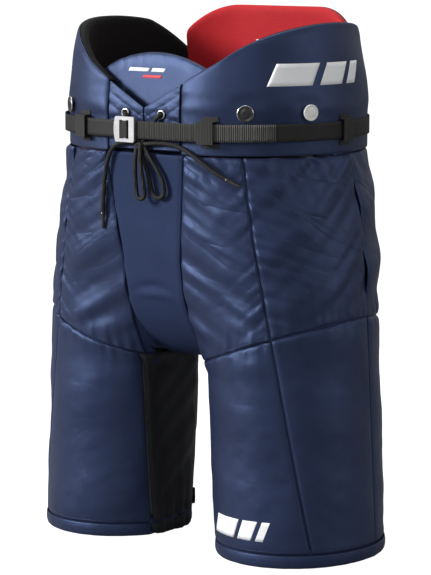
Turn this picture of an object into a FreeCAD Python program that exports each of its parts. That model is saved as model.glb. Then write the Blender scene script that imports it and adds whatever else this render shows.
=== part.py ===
import FreeCAD, Part

import math
import os
from collections import namedtuple
from functools import lru_cache

# Senior ice hockey pants, standing on their hems. Millimetres, +Z up, the front faces -Y and the
# wearer's left side is +X. The origin is on the floor under the middle of the pants.
# Every cover, guard, foam and lining is a layer of one closed form, lofted through plan sections.

V = FreeCAD.Vector

# ---------------------------------------------------------------- driving sizes

# Plan sections of the outer surface. Two ellipses stand side by side, their centres "spread" from
# the middle, and above the crotch straight runs join them. "back" moves a section towards +Y.
Section = namedtuple("Section", "z spread half_width half_depth back")
inner_wall_x = 41  # flat inner wall of each leg
hem_inner_x = inner_wall_x - 8  # the wall cuts the ends off the two lower ellipses
crotch_inner_x = inner_wall_x - 19
hem_outer_x = 217
crotch_outer_x = 206
hem = Section(0, (hem_outer_x + hem_inner_x) / 2, (hem_outer_x - hem_inner_x) / 2, 104, -6)
crotch = Section(205, (crotch_outer_x + crotch_inner_x) / 2, (crotch_outer_x - crotch_inner_x) / 2, 106, -5)
thigh = Section(300, 104, 97, 112, -3)
hip = Section(370, 80, 113, 124, 0)
girdle = Section(452, 45, 132, 136, 4)
girdle_straight = 50  # the girdle stands upright this far, behind the belt
wing_rise = 98  # from there to the top of the hip wings
wing_lean = 14  # the girdle narrows by this much on each side up to the top of the wings
wing_lean_depth = 9

gap = 0.5  # between pieces that are sewn side by side
layer_gap = 0.4  # between layers that lie on each other
big = 700  # reach of the cutting prisms, past every face of the pants

# Layers, from the outside in
cover_thickness = 4.0
plate_thickness = 2.6
foam_thickness = 8.0
lining_thickness = 1.6
girdle_foam_thickness = 6.0
stretch_start = 1.0  # the stretch panel is thinner than the covers beside it
stretch_thickness = 2.0

# Seams
inner_seam_x = inner_wall_x + 5  # the inner wall's seam with the thigh cover
seam_inner_z = 215  # thigh seam at the inner wall
seam_outer_z = 272  # thigh seam at the outer side
seam_outer_x = 205
side_seam_hem_x = 193  # front side seam at the hem
side_seam_girdle_x = 118  # and at the girdle
side_back_y = 14  # seam between the side and the back
stretch_back_x = 100  # the stretch panel ends here behind the leg
stretch_turn_y = -10  # behind this it is all of the leg's inner back
slant_reach = 74  # the leg's inner back is cut off flat this far from its axis
slant_angle = 36.9  # that flat faces this far back from sideways
hem_height = 15

# Crotch gusset, a strap from the girdle's front, under the crotch and up to the seat
gusset_half_width = inner_wall_x - 1  # it passes between the legs
gusset_half_width_top = 54
gusset_flare_z = 330
gusset_bottom_z = 209

# Girdle. Rises are heights above the girdle's seam, and drops are depths below the wings' crest.
fly_rise = 50  # bottom of the V
fly_slope = 0.567  # rise of the edges of the V
fly_end_x = 90  # they curve over into the wings here
flap_half_width = 50
flap_bottom_rise = 3
wing_arc_x = 135  # a point of the wing's top edge in the front view
wing_arc_drop = 14
wing_crest_x = 185
wing_back_arc_y = 70  # a point of its top edge in the side view
wing_back_arc_drop = 13
notch_drop = 55  # where the wing meets the spine pad
spine_half_width = 114
spine_rise = 6  # its top stands this far above the wings' crest
spine_flat_x = 58  # its top is level as far as this
spine_arc_x = 90  # a point of its rounded shoulder
spine_arc_drop = 2
spine_shoulder_drop = 22  # the shoulder ends here
inner_margin = 7  # the kidney and spine plates end this far inside their covers

# Tongue behind the V
tongue_half_width = 77
tongue_root_drop = 12  # its foot starts this far below the girdle's seam
tongue_side_rise = 88
tongue_top_rise = 110
tongue_thickness = 8.0
tongue_clearance = 2.6
tongue_foot_height = 8
tongue_foot_half_width = 48

# Belt
webbing_height = 19
webbing_thickness = 1.6
belt_rise = 26
belt_gap_front = 6.5  # room for the lace behind the belt
belt_gap_back = 1.5
tail_end_x = 150
loop_height = webbing_height + 15  # with its sewn feet
loop_tunnel_height = webbing_height + 3.6
loop_thickness = 1.2
loop_width = 18
loop_seat = 0.1  # between the loops and the girdle
front_loop_x = 87
side_loop_y = 0
back_loop_x = 92

# Buckle, a frame hung on a webbing eye, with a flat bar that slides in it
buckle_x = -17
frame_width = 28.2
frame_height = webbing_height + 9
frame_thickness = 3.0
frame_corner = 2.2
frame_bulge = 1.6
clamp_bar_width = 8.0
window_width = 13.0
window_height = webbing_height + 1.5
bar_width = 5.4
bar_thickness = 1.6
bar_socket = 1.8
bar_clearance = 0.2
bar_travel = 1.4
rod_radius = 1.2
rod_clearance = 0.2
ear_height = 2.4
ear_width = 4.4
ear_clearance = 0.3

# Buttons for braces
button_radius = 9.0
button_thickness = 2.6
button_neck_radius = 3.0
button_neck_length = 2.0
button_rise = 47
front_button_angle = 35  # round the girdle's corner ellipse, from the front
side_button_angle = 66
back_button_x = 34
post_radius = 1.5
post_clearance = 0.1
washer_radius = 7.0
washer_thickness = 0.8

# Lacing
lace_diameter = 4.8
eyelet_x = 25
eyelet_rise = 43
eyelet_hole_radius = 3.5
eyelet_wall = 0.4
eyelet_flange_radius = 5.2
eyelet_flange = 0.6
aglet_length = 16
aglet_radius = 2.0
knot_centre = V(0, -138.2, 460.5)
knot_half_sizes = (8, 5.2, 6.3)

# Guards inside the hips and at the tailbone, as depths below the girdle's seam
guard_top_drop = 6
hip_plate_drop = 80
hip_foam_drop = 150
guard_half_depth = 62
guard_inner_x = 120
tailbone_half_width = 45
tailbone_drop = 122
waist_lining_top_drop = 18
waist_lining_drop = 67

# Inside the legs
thigh_plate_bottom_z = 45
thigh_plate_inner_x = 62
thigh_plate_inner_y = -30
thigh_plate_outer_x = 160
leg_foam_bottom_z = 18
lining_bottom_z = 8
lining_wall = 10  # the lining lies this far inside the flat inner wall
seam_margin = 3  # inner pieces end this far below the thigh seam

# Routes of the lace: from the knot up through both eyelets, two loops and two tails
lace_tie_route = [
    (1.5, -136.4, 463),
    (6.5, -135.5, 472),
    (16, -135.3, 484.5),
    (25, -136.3, 495),
    (25.2, -123.4, 495.2),
    (15, -123.2, 493),
    (0, -123, 495.6),
    (-15, -123.2, 493),
    (-25.2, -123.4, 495.2),
    (-25, -136.3, 495),
    (-16, -135.3, 484.5),
    (-6.5, -135.5, 472),
    (-1.5, -136.4, 463),
]
right_tail_route = [
    (-3, -136.8, 462),
    (-14, -136.2, 463.6),
    (-29, -135.9, 462.8),
    (-42, -135.9, 455),
    (-49, -135, 441),
    (-54, -133.2, 424),
    (-57.5, -131.2, 404),
    (-60, -129.6, 390),
    (-61, -128.4, 379),
]
left_tail_route = [
    (3, -136.8, 462),
    (16, -136.2, 463.8),
    (34, -136, 464.4),
    (52, -136, 462),
    (67, -135.2, 455),
    (80, -133.4, 446.5),
    (93, -130.4, 437.6),
    (102, -127.4, 431.6),
    (110, -124.2, 427.4),
]
right_loop_route = [
    (-2.4, -140.4, 462),
    (-3.2, -142.4, 450.5),
    (-4.6, -141.2, 436),
    (-5.4, -139.6, 421),
    (-5.1, -138.6, 411.5),
    (-4.5, -138.2, 404.8),
    (-1.4, -138, 401.6),
    (3, -138, 401.6),
    (6.1, -138.2, 404.8),
    (6.3, -138.8, 411.5),
    (5.6, -140, 421),
    (3.9, -141.4, 436),
    (3, -142.4, 450.5),
    (2.8, -140.4, 462),
]
left_loop_route = [
    (5.2, -137.5, 460),
    (11, -137, 450),
    (18, -135.6, 440),
    (26, -133.8, 427),
    (29.5, -132.6, 414.5),
    (28.2, -131.8, 407),
    (22.4, -131.4, 403),
    (15.5, -131.4, 404.2),
    (11.3, -131.8, 410),
    (9.6, -132.8, 421),
    (6.4, -134.6, 435),
    (2.2, -136.2, 448),
    (0, -137.3, 460),
]

# ---------------------------------------------------------------- worked out from them

girdle_top = girdle._replace(z=girdle.z + girdle_straight)
wing_top = Section(
    girdle_top.z + wing_rise,
    girdle.spread,
    girdle.half_width - wing_lean,
    girdle.half_depth - wing_lean_depth,
    girdle.back,
)
rim_share = 1 + spine_rise / wing_rise
rim_top = Section(
    wing_top.z + spine_rise,
    girdle.spread,
    girdle.half_width - wing_lean * rim_share,
    girdle.half_depth - wing_lean_depth * rim_share,
    girdle.back,
)
notch_z = wing_top.z - notch_drop
fly_z = girdle.z + fly_rise
plate_start = cover_thickness + layer_gap
plate_end = plate_start + plate_thickness
foam_start = plate_end + layer_gap
foam_end = foam_start + foam_thickness
lining_start = foam_end + layer_gap
lining_end = lining_start + lining_thickness
girdle_foam_end = foam_start + girdle_foam_thickness
tongue_start = girdle_foam_end + tongue_clearance
tongue_end = tongue_start + tongue_thickness
stretch_end = stretch_start + stretch_thickness
panel_top_z = girdle.z - gap
guard_top_z = girdle.z - guard_top_drop
tongue_root_z = girdle.z - tongue_root_drop
button_z = girdle.z + button_rise
eyelet_z = girdle.z + eyelet_rise
girdle_front_y = girdle.back - girdle.half_depth

belt = girdle._replace(
    half_width=girdle.half_width + belt_gap_back,
    half_depth=girdle.half_depth + (belt_gap_front + belt_gap_back) / 2,
    back=girdle.back - (belt_gap_front - belt_gap_back) / 2,
)
belt_z = girdle.z + belt_rise
belt_low_z = belt_z - webbing_height / 2
belt_high_z = belt_z + webbing_height / 2
belt_front_y = belt.back - belt.half_depth
tail_start = webbing_thickness + layer_gap
tail_end = tail_start + webbing_thickness
loop_start = tail_end + layer_gap
loop_end = loop_start + loop_thickness

frame_back_y = belt_front_y - tail_end - layer_gap
frame_front_y = frame_back_y - frame_thickness
frame_left_x = buckle_x - frame_width / 2
frame_right_x = buckle_x + frame_width / 2
window_left_x = frame_left_x + clamp_bar_width
window_right_x = window_left_x + window_width
bar_x = (window_left_x + window_right_x) / 2
bar_y = (frame_back_y + frame_front_y) / 2
eye_inner_radius = rod_radius + rod_clearance
eye_outer_radius = eye_inner_radius + webbing_thickness
rod_x = frame_left_x + clamp_bar_width / 2
rod_y = frame_back_y + rod_clearance + eye_outer_radius
bight_end_x = (window_right_x + frame_right_x) / 2
webbing_start_x = bight_end_x + bar_travel + layer_gap

# ---------------------------------------------------------------- outlines and prisms

Arc = namedtuple("Arc", "mid end")


def outline_face(outline, place):
    """A flat face from corners and arcs. "place" puts a point of the outline in space."""
    edges = []
    first = place(*outline[0])
    last = first
    for item in outline[1:]:
        end = place(*item.end) if isinstance(item, Arc) else place(*item)
        if isinstance(item, Arc):
            edges.append(Part.Arc(last, place(*item.mid), end).toShape())
        else:
            edges.append(Part.makeLine(last, end))
        last = end
    if last.distanceToPoint(first) > 1e-6:
        edges.append(Part.makeLine(last, first))
    return Part.Face(Part.Wire(edges))


def front_prism(outline, y0=-big, y1=big):
    """An outline in X and Z, carried from y0 to y1."""
    return outline_face(outline, lambda x, z: V(x, y0, z)).extrude(V(0, y1 - y0, 0))


def side_prism(outline, x0=-big, x1=big):
    """An outline in Y and Z, carried from x0 to x1."""
    return outline_face(outline, lambda y, z: V(x0, y, z)).extrude(V(x1 - x0, 0, 0))


def plan_prism(outline, z0=-big, z1=big):
    """An outline in X and Y, carried from z0 to z1."""
    return outline_face(outline, lambda x, y: V(x, y, z0)).extrude(V(0, 0, z1 - z0))


def block(x0, x1, y0, y1, z0, z1):
    return Part.makeBox(x1 - x0, y1 - y0, z1 - z0, V(x0, y0, z0))


def centred_block(x, y, z, width, depth, height):
    return Part.makeBox(width, depth, height, V(x - width / 2, y - depth / 2, z - height / 2))


def slab(z0, z1):
    """Everything between two heights."""
    return block(-big, big, -big, big, z0, z1)


def mirrored(shape):
    return shape.mirror(V(0, 0, 0), V(1, 0, 0))


def with_mirror(shape):
    """A left half and its mirror image, joined at the middle."""
    return shape.fuse(mirrored(shape)).removeSplitter()


def together(shapes):
    return Part.makeCompound(list(shapes))


# ---------------------------------------------------------------- the closed forms


def ellipse_arc(s, inset, start, end):
    """Part of a section's ellipse, from one angle to another: -90 is its front and 90 its back."""
    unit = Part.Circle(V(0, 0, 0), V(0, 0, 1), 1).toShape(math.radians(start), math.radians(end))
    size = FreeCAD.Matrix()
    size.scale(s.half_width - inset, s.half_depth - inset, 1)
    size.move(V(s.spread, s.back, s.z))
    return unit.transformGeometry(size).Edges[0]


def leg_wire(s, inset, wall):
    """A left leg's section: its ellipse, cut off flat on the inner side and at the inner back."""
    a, b = s.half_width - inset, s.half_depth - inset
    wall_x = inner_wall_x + wall
    wall_reach = math.degrees(math.acos((wall_x - s.spread) / a))
    side, back = -math.cos(math.radians(slant_angle)), math.sin(math.radians(slant_angle))
    slant_middle = math.atan2(back * b, side * a)
    slant_half = math.acos((slant_reach - inset) / math.hypot(side * a, back * b))
    inner_back = ellipse_arc(s, inset, 90, math.degrees(slant_middle - slant_half))
    inner_front = ellipse_arc(s, inset, -wall_reach, -90)
    corner_y = s.back + (slant_reach - inset - side * (wall_x - s.spread)) / back
    corner = V(wall_x, corner_y, s.z)
    slant = Part.makeLine(inner_back.lastVertex().Point, corner)
    flat = Part.makeLine(corner, inner_front.firstVertex().Point)
    outer = [ellipse_arc(s, inset, -90, 0), ellipse_arc(s, inset, 0, 90)]
    return Part.Wire(outer + [inner_back, slant, flat, inner_front])


def body_wire(s, inset):
    """The left half of a section above the crotch, closed along the middle."""
    outer_front = ellipse_arc(s, inset, -90, 0)
    outer_back = ellipse_arc(s, inset, 0, 90)
    front = outer_front.firstVertex().Point
    back = outer_back.lastVertex().Point
    middle_back, middle, middle_front = V(0, back.y, s.z), V(0, s.back, s.z), V(0, front.y, s.z)
    flats = [
        Part.makeLine(back, middle_back),
        Part.makeLine(middle_back, middle),
        Part.makeLine(middle, middle_front),
        Part.makeLine(middle_front, front),
    ]
    return Part.Wire([outer_front, outer_back] + flats)


@lru_cache(maxsize=None)
def pants_form(inset, wall):
    """The left half of the pants as one closed form, from the hem to the girdle."""
    wires = [leg_wire(hem, inset, wall), leg_wire(crotch, inset, wall)]
    wires += [body_wire(s, inset) for s in (thigh, hip, girdle)]
    return Part.makeLoft(wires, True, True)


@lru_cache(maxsize=None)
def girdle_form(inset, bottom_z=girdle.z):
    """The left half of the girdle and its wing as one closed form."""
    sections = (girdle._replace(z=bottom_z), girdle_top, rim_top)
    return Part.makeLoft([body_wire(s, inset) for s in sections], True, True)


@lru_cache(maxsize=None)
def belt_form(growth):
    """The left half of what the belt goes round, grown outwards."""
    low = belt._replace(z=belt_z - loop_height)
    high = belt._replace(z=belt_z + loop_height)
    return Part.makeLoft([body_wire(low, -growth), body_wire(high, -growth)], True, True)


@lru_cache(maxsize=None)
def pants_layer(start, end, wall_start=None, wall_end=None):
    """A layer of the pants between two insets. The flat inner wall can have insets of its own."""
    outer = pants_form(start, start if wall_start is None else wall_start)
    return outer.cut(pants_form(end, end if wall_end is None else wall_end))


@lru_cache(maxsize=None)
def girdle_layer(start, end):
    return girdle_form(start).cut(girdle_form(end))


@lru_cache(maxsize=None)
def belt_ring(start, end):
    """A closed ring of webbing, between two growths of the belt's form."""
    return with_mirror(belt_form(end).cut(belt_form(start)).common(slab(belt_low_z, belt_high_z)))


# ---------------------------------------------------------------- regions of the pants


def thigh_seam_z(x):
    slope = (seam_outer_z - seam_inner_z) / (seam_outer_x - inner_wall_x)
    return seam_inner_z + (x - inner_wall_x) * slope


def side_seam_x(z):
    return side_seam_hem_x + (side_seam_girdle_x - side_seam_hem_x) * z / girdle.z


def fly_edge_z(x):
    return fly_z + fly_slope * x


def below_thigh_seam(bottom_z, drop=gap / 2):
    """Everything of a left leg, from a height up to a distance below the thigh seam."""
    x0, x1 = inner_wall_x, big
    top0, top1 = thigh_seam_z(x0) - drop, thigh_seam_z(x1) - drop
    return front_prism([(x0, bottom_z), (x1, bottom_z), (x1, top1), (x0, top0)])


def above_thigh_seam(inner_edge):
    """Everything of a left panel above the thigh seam, outside an edge given from its top down."""
    x0, x1 = inner_edge[-1][0], big
    low0, low1 = thigh_seam_z(x0) + gap / 2, thigh_seam_z(x1) + gap / 2
    return front_prism([(x0, low0), (x1, low1), (x1, panel_top_z)] + inner_edge[:-1])


def front_of_side_seam():
    x0, x1 = side_seam_x(0) - gap / 2, side_seam_x(girdle.z) - gap / 2
    outline = [(0, 0), (x0, 0), (x1, girdle.z), (0, girdle.z)]
    return front_prism(outline, -big, side_back_y - gap / 2)


def behind_side_seam():
    x0, x1 = side_seam_x(0) + gap / 2, side_seam_x(girdle.z) + gap / 2
    outline = [(x0, 0), (big, 0), (big, girdle.z), (x1, girdle.z)]
    return front_prism(outline, -big, side_back_y - gap / 2)


def behind(y):
    return block(-big, big, y, big, -big, big)


def girdle_back_y(x, z):
    """Where the girdle's outer face is behind the body, on its leaning part."""
    t = (z - girdle_top.z) / (wing_top.z - girdle_top.z)
    half_width = girdle_top.half_width + (wing_top.half_width - girdle_top.half_width) * t
    half_depth = girdle_top.half_depth + (wing_top.half_depth - girdle_top.half_depth) * t
    return girdle.back + half_depth * math.sqrt(1 - ((x - girdle.spread) / half_width) ** 2)


def wing_region(margin=0.0):
    """The left wing: under its top edge, beside the flap and beside the spine pad."""
    crest_z = wing_top.z
    arc_mid = (wing_arc_x, crest_z - wing_arc_drop)
    front = [
        (0, 0),
        (0, fly_z),
        (fly_end_x, fly_edge_z(fly_end_x)),
        Arc(arc_mid, (wing_crest_x, crest_z)),
        (big, crest_z),
        (big, 0),
    ]
    back_mid = (wing_back_arc_y, crest_z - wing_back_arc_drop)
    back = [
        (-big, 0),
        (-big, crest_z),
        (0, crest_z),
        Arc(back_mid, (girdle_back_y(spine_half_width, notch_z), notch_z)),
        (big, notch_z),
        (big, 0),
    ]
    region = front_prism(front).common(side_prism(back))
    region.translate(V(0, 0, -margin))
    inner_x = flap_half_width + gap + margin
    region = region.common(block(inner_x, big, -big, big, girdle.z + margin, big))
    return region.cut(block(0, spine_half_width + gap + margin, 0, big, 0, big))


def spine_region(margin=0.0):
    """The left half of the spine pad."""
    crest_z = wing_top.z
    arc_mid = (spine_arc_x, crest_z - spine_arc_drop)
    outline = [
        (0, 0),
        (0, rim_top.z),
        (spine_flat_x, rim_top.z),
        Arc(arc_mid, (spine_half_width, crest_z - spine_shoulder_drop)),
        (spine_half_width, 0),
    ]
    region = front_prism(outline, 0, big)
    region.translate(V(0, 0, -margin))
    return region.common(block(0, spine_half_width - margin, 0, big, girdle.z + margin, big))


# ---------------------------------------------------------------- pads of the girdle


def fly_flap():
    """The left half of the fly, between the middle and its quilted seam, with its eyelet hole."""
    x0, x1, z0 = gap / 2, flap_half_width, girdle.z + flap_bottom_rise
    outline = [(x0, z0), (x1, z0), (x1, fly_edge_z(x1)), (x0, fly_edge_z(x0))]
    flap = girdle_layer(0, cover_thickness).common(front_prism(outline, -big, 0))
    return flap.cut(along_y(eyelet_hole_radius + eyelet_wall, -big, 0))


def along_y(radius, y0, y1):
    """A cylinder through the left eyelet."""
    return Part.makeCylinder(radius, y1 - y0, V(eyelet_x, y0, eyelet_z), V(0, 1, 0))


def lace_eyelet():
    front_y = girdle_front_y
    back_y = girdle_front_y + cover_thickness
    barrel = along_y(eyelet_hole_radius + eyelet_wall, front_y - eyelet_flange, back_y + eyelet_flange)
    front_flange = along_y(eyelet_flange_radius, front_y - eyelet_flange, front_y)
    back_flange = along_y(eyelet_flange_radius, back_y, back_y + eyelet_flange)
    return barrel.fuse([front_flange, back_flange]).cut(along_y(eyelet_hole_radius, -big, 0))


def tongue_pad():
    """A pad behind the V. Its foot reaches forward to the gusset, where it is sewn in."""
    root_z = tongue_root_z
    side_z, top_z = girdle.z + tongue_side_rise, girdle.z + tongue_top_rise
    radius = (tongue_half_width ** 2 + (top_z - side_z) ** 2) / (2 * (top_z - side_z))
    mid_x = tongue_half_width / 2
    arc_mid = (mid_x, top_z - radius + math.sqrt(radius ** 2 - mid_x ** 2))
    x1 = tongue_half_width
    outline = [(0, root_z), (x1, root_z), (x1, side_z), Arc(arc_mid, (0, top_z))]
    layer = girdle_form(tongue_start, root_z).cut(girdle_form(tongue_end, root_z))
    half = layer.common(front_prism(outline, -big, 0))
    foot_front_y = gusset_front_y(root_z) + cover_thickness + layer_gap
    foot_back_y = girdle_front_y + (tongue_start + tongue_end) / 2
    foot_top_z = root_z + tongue_foot_height
    foot = block(0, tongue_foot_half_width, foot_front_y, foot_back_y, root_z, foot_top_z)
    return with_mirror(half.fuse(foot))


def wing_cover():
    """The outer skin of the left hip wing, with holes for its two buttons."""
    cover = girdle_layer(0, cover_thickness).common(wing_region())
    for point, normal in (front_button_seat(), side_button_seat()):
        cover = cover.cut(button_hole(point, normal))
    return cover


def spine_cover():
    half = girdle_layer(0, cover_thickness).common(spine_region())
    return with_mirror(half.cut(button_hole(*back_button_seat())))


# ---------------------------------------------------------------- buttons for braces


def corner_seat(angle):
    """A point of the girdle's corner at the buttons' height, and the direction out of it."""
    sine, cosine = math.sin(math.radians(angle)), math.cos(math.radians(angle))
    point = V(girdle.spread + girdle.half_width * sine, girdle.back - girdle.half_depth * cosine, button_z)
    normal = V(sine / girdle.half_width, -cosine / girdle.half_depth, 0)
    return point, normal.normalize()


def front_button_seat():
    return corner_seat(front_button_angle)


def side_button_seat():
    return corner_seat(side_button_angle)


def back_button_seat():
    return V(back_button_x, girdle.back + girdle.half_depth, button_z), V(0, 1, 0)


def pin(point, normal, radius, start, end):
    """A cylinder along a button's axis, between two distances from the girdle's face."""
    return Part.makeCylinder(radius, end - start, point + normal * start, normal)


def button(point, normal):
    neck_end = button_neck_length
    neck = pin(point, normal, button_neck_radius, 0, neck_end)
    disc = pin(point, normal, button_radius, neck_end, neck_end + button_thickness)
    edge = [e for e in disc.Edges if e.CenterOfMass.distanceToPoint(point) > neck_end + button_thickness / 2]
    circles = [e for e in edge if e.Curve.TypeId == "Part::GeomCircle"]
    rounded = disc.makeFillet(button_thickness / 3, circles)
    return rounded.fuse([neck, pin(point, normal, post_radius, -cover_thickness, 0)])


def button_washer(point, normal):
    outer_face = washer_thickness - cover_thickness
    washer = pin(point, normal, washer_radius, -cover_thickness, outer_face)
    return washer.cut(pin(point, normal, post_radius + post_clearance, -cover_thickness, outer_face))


def button_hole(point, normal):
    """A hole through the cover, sunk on the inside for the washer."""
    hole = pin(point, normal, post_radius + post_clearance, -2 * cover_thickness, cover_thickness)
    sunk_end = washer_thickness + post_clearance - cover_thickness
    sunk = pin(point, normal, washer_radius + post_clearance, -2 * cover_thickness, sunk_end)
    return hole.fuse(sunk)


def pair(build, seat):
    piece = build(*seat)
    return [piece, mirrored(piece)]


# ---------------------------------------------------------------- belt and buckle


def belt_band():
    """The belt, open behind the buckle. Its right end is an eye round the buckle's rod."""
    opening = block(rod_x, webbing_start_x, -big, 0, 0, big)
    eye = Part.makeCylinder(eye_outer_radius, webbing_height, V(rod_x, rod_y, belt_low_z))
    hole = Part.makeCylinder(eye_inner_radius, webbing_height, V(rod_x, rod_y, belt_low_z))
    return belt_ring(0, webbing_thickness).cut(opening).fuse(eye).cut(hole)


def belt_tail():
    """The free end of the belt, lying on it from the buckle to the wearer's left hip."""
    return belt_ring(tail_start, tail_end).common(block(webbing_start_x, tail_end_x, -big, 0, 0, big))


def loop_band():
    """A closed ring with the section of a belt loop: a bridge over the belt and two sewn feet."""
    half_tunnel = loop_tunnel_height / 2
    half_bridge = half_tunnel + loop_thickness
    half_height = loop_height / 2
    bridge = belt_form(loop_end).common(slab(belt_z - half_bridge, belt_z + half_bridge))
    tunnel = belt_form(loop_start).common(slab(belt_z - half_tunnel, belt_z + half_tunnel))
    feet = girdle_form(-loop_seat - loop_thickness).common(slab(belt_z - half_height, belt_z + half_height))
    return bridge.cut(tunnel).fuse(feet).cut(girdle_form(-loop_seat)).cut(tunnel)


def belt_loops():
    band = loop_band()
    reach = loop_width / 2
    places = [
        block(front_loop_x - reach, front_loop_x + reach, -big, 0, 0, big),
        block(0, big, side_loop_y - reach, side_loop_y + reach, 0, big),
        block(back_loop_x - reach, back_loop_x + reach, 0, big, 0, big),
    ]
    loops = [band.common(place) for place in places]
    return together(loops + [mirrored(loop) for loop in loops])


def frame_outline():
    """The frame's front view: rounded corners and a bulging left edge."""
    left, right, r = frame_left_x + frame_bulge, frame_right_x, frame_corner
    low, high = belt_z - frame_height / 2, belt_z + frame_height / 2
    k = r * (1 - math.sqrt(0.5))
    return [
        (left + r, low),
        (right - r, low),
        Arc((right - k, low + k), (right, low + r)),
        (right, high - r),
        Arc((right - k, high - k), (right - r, high)),
        (left + r, high),
        Arc((left + k, high - k), (left, high - r)),
        Arc((frame_left_x, belt_z), (left, low + r)),
        Arc((left + k, low + k), (left + r, low)),
    ]


def buckle_frame():
    """A frame with a window, sockets for the bar, and a rod behind its wide left side."""
    frame = front_prism(frame_outline(), frame_front_y, frame_back_y)
    window_z0, window_z1 = belt_z - window_height / 2, belt_z + window_height / 2
    frame = frame.cut(block(window_left_x, window_right_x, -big, 0, window_z0, window_z1))
    socket_width = bar_width + 2 * (bar_travel + bar_clearance)
    socket_depth = bar_thickness + 2 * bar_clearance
    socket_height = window_height + 2 * bar_socket
    frame = frame.cut(centred_block(bar_x, bar_y, belt_z, socket_width, socket_depth, socket_height))
    half_reach = webbing_height / 2 + ear_clearance + ear_height
    rod = Part.makeCylinder(rod_radius, 2 * half_reach, V(rod_x, rod_y, belt_z - half_reach))
    ear = block(
        rod_x - ear_width / 2,
        rod_x + ear_width / 2,
        frame_back_y,
        rod_y + rod_radius,
        belt_high_z + ear_clearance,
        belt_z + half_reach,
    )
    lower_ear = ear.mirror(V(0, 0, belt_z), V(0, 0, 1))
    return frame.fuse([rod, ear, lower_ear]).removeSplitter()


def buckle_bar():
    height = window_height + 2 * (bar_socket - bar_clearance)
    return centred_block(bar_x, bar_y, belt_z, bar_width, bar_thickness, height)


def belt_bight():
    """The webbing's turn round the bar, with both layers that leave it behind the frame."""
    around = bar_clearance + webbing_thickness
    width, depth = bar_width + 2 * around, bar_thickness + 2 * around
    turn = centred_block(bar_x, bar_y, belt_z, width, depth, webbing_height)
    hollow = centred_block(
        bar_x, bar_y, belt_z, width - 2 * webbing_thickness, depth - 2 * webbing_thickness, webbing_height
    )
    left_x = bar_x - width / 2
    z0, z1 = belt_low_z, belt_high_z
    back_y = bar_y + depth / 2
    outer_leg = block(bar_x, bight_end_x, belt_front_y - tail_end, belt_front_y - tail_start, z0, z1)
    inner_leg = block(left_x, bight_end_x, belt_front_y - webbing_thickness, belt_front_y, z0, z1)
    drop = block(left_x, left_x + webbing_thickness, back_y - webbing_thickness, belt_front_y, z0, z1)
    return turn.cut(hollow).fuse([outer_leg, inner_leg, drop]).removeSplitter()


# ---------------------------------------------------------------- lace


def rounded_route(points):
    """A route of straight runs joined by tangent arcs, and the radii of those arcs."""
    points = [V(*p) for p in points]
    edges, radii, last = [], [], points[0]
    for before, corner, after in zip(points, points[1:], points[2:]):
        inward, outward = corner - before, after - corner
        reach = 0.45 * min(inward.Length, outward.Length)
        half_turn = inward.getAngle(outward) / 2
        radii.append(reach / math.tan(half_turn))
        start = corner - inward.normalize() * reach
        end = corner + outward.normalize() * reach
        inner = (start + end) * 0.5 - corner
        to_centre = radii[-1] / math.cos(half_turn)
        middle = corner + inner.normalize() * (to_centre - radii[-1])
        edges += [Part.makeLine(last, start), Part.Arc(start, middle, end).toShape()]
        last = end
    edges.append(Part.makeLine(last, points[-1]))
    return Part.Wire(edges), radii


def lace(name, points):
    """A round cord along a route, which ends where it goes into the knot."""
    route, radii = rounded_route(points)
    start = V(*points[0])
    heading = V(*points[1]) - start
    section = Part.Wire(Part.Circle(start, heading, lace_diameter / 2).toShape())
    cord = route.makePipeShell([section], True, False)
    expected = math.pi * lace_diameter ** 2 / 4 * route.Length
    print(
        f"{name}: length {route.Length:.1f} mm, volume {cord.Volume / expected:.4f} of section x length,",
        f"radii {min(radii):.1f} to {max(radii):.1f} mm, valid {cord.isValid()}",
    )
    return cord.cut(lace_knot())


@lru_cache(maxsize=None)
def lace_knot():
    ball = Part.makeSphere(1)
    size = FreeCAD.Matrix()
    size.scale(*knot_half_sizes)
    size.move(knot_centre)
    return ball.transformGeometry(size).Solids[0]


def aglet(points):
    """The stiff tip that goes on from the end of a tail."""
    end = V(*points[-1])
    heading = end - V(*points[-2])
    return Part.makeCylinder(aglet_radius, aglet_length, end, heading)


# ---------------------------------------------------------------- panels from girdle to thigh seam


def gusset_front_y(z):
    """Where the front of the pants is at the middle, between the thigh section and the girdle."""
    low, high = (hip, girdle) if z > hip.z else (thigh, hip)
    t = (z - low.z) / (high.z - low.z)
    front = [s.back - s.half_depth for s in (low, high)]
    return front[0] + (front[1] - front[0]) * t


def crotch_gusset():
    t = cover_thickness
    top_z = panel_top_z
    front_y, back_y = thigh.back - thigh.half_depth, thigh.back + thigh.half_depth
    strap = side_prism(
        [
            (gusset_front_y(top_z), top_z),
            (gusset_front_y(hip.z), hip.z),
            (front_y, thigh.z),
            Arc((thigh.back, gusset_bottom_z), (back_y, thigh.z)),
            (back_y - t, thigh.z),
            Arc((thigh.back, gusset_bottom_z + t), (front_y + t, thigh.z)),
            (gusset_front_y(hip.z) + t, hip.z),
            (gusset_front_y(top_z) + t, top_z),
        ]
    )
    w0, w1 = gusset_half_width, gusset_half_width_top
    outline = [(-w0, 0), (w0, 0), (w0, gusset_flare_z), (w1, top_z), (-w1, top_z), (-w0, gusset_flare_z)]
    return strap.common(front_prism(outline))


def front_panel():
    inner_edge = [
        (gusset_half_width_top + gap, panel_top_z),
        (gusset_half_width + gap, gusset_flare_z),
        (gusset_half_width + gap, 0),
    ]
    layer = pants_layer(0, cover_thickness)
    return layer.common(above_thigh_seam(inner_edge)).common(front_of_side_seam())


def side_panel():
    inner_edge = [(gusset_half_width, panel_top_z), (gusset_half_width, 0)]
    layer = pants_layer(0, cover_thickness)
    return layer.common(above_thigh_seam(inner_edge)).common(behind_side_seam())


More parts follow.
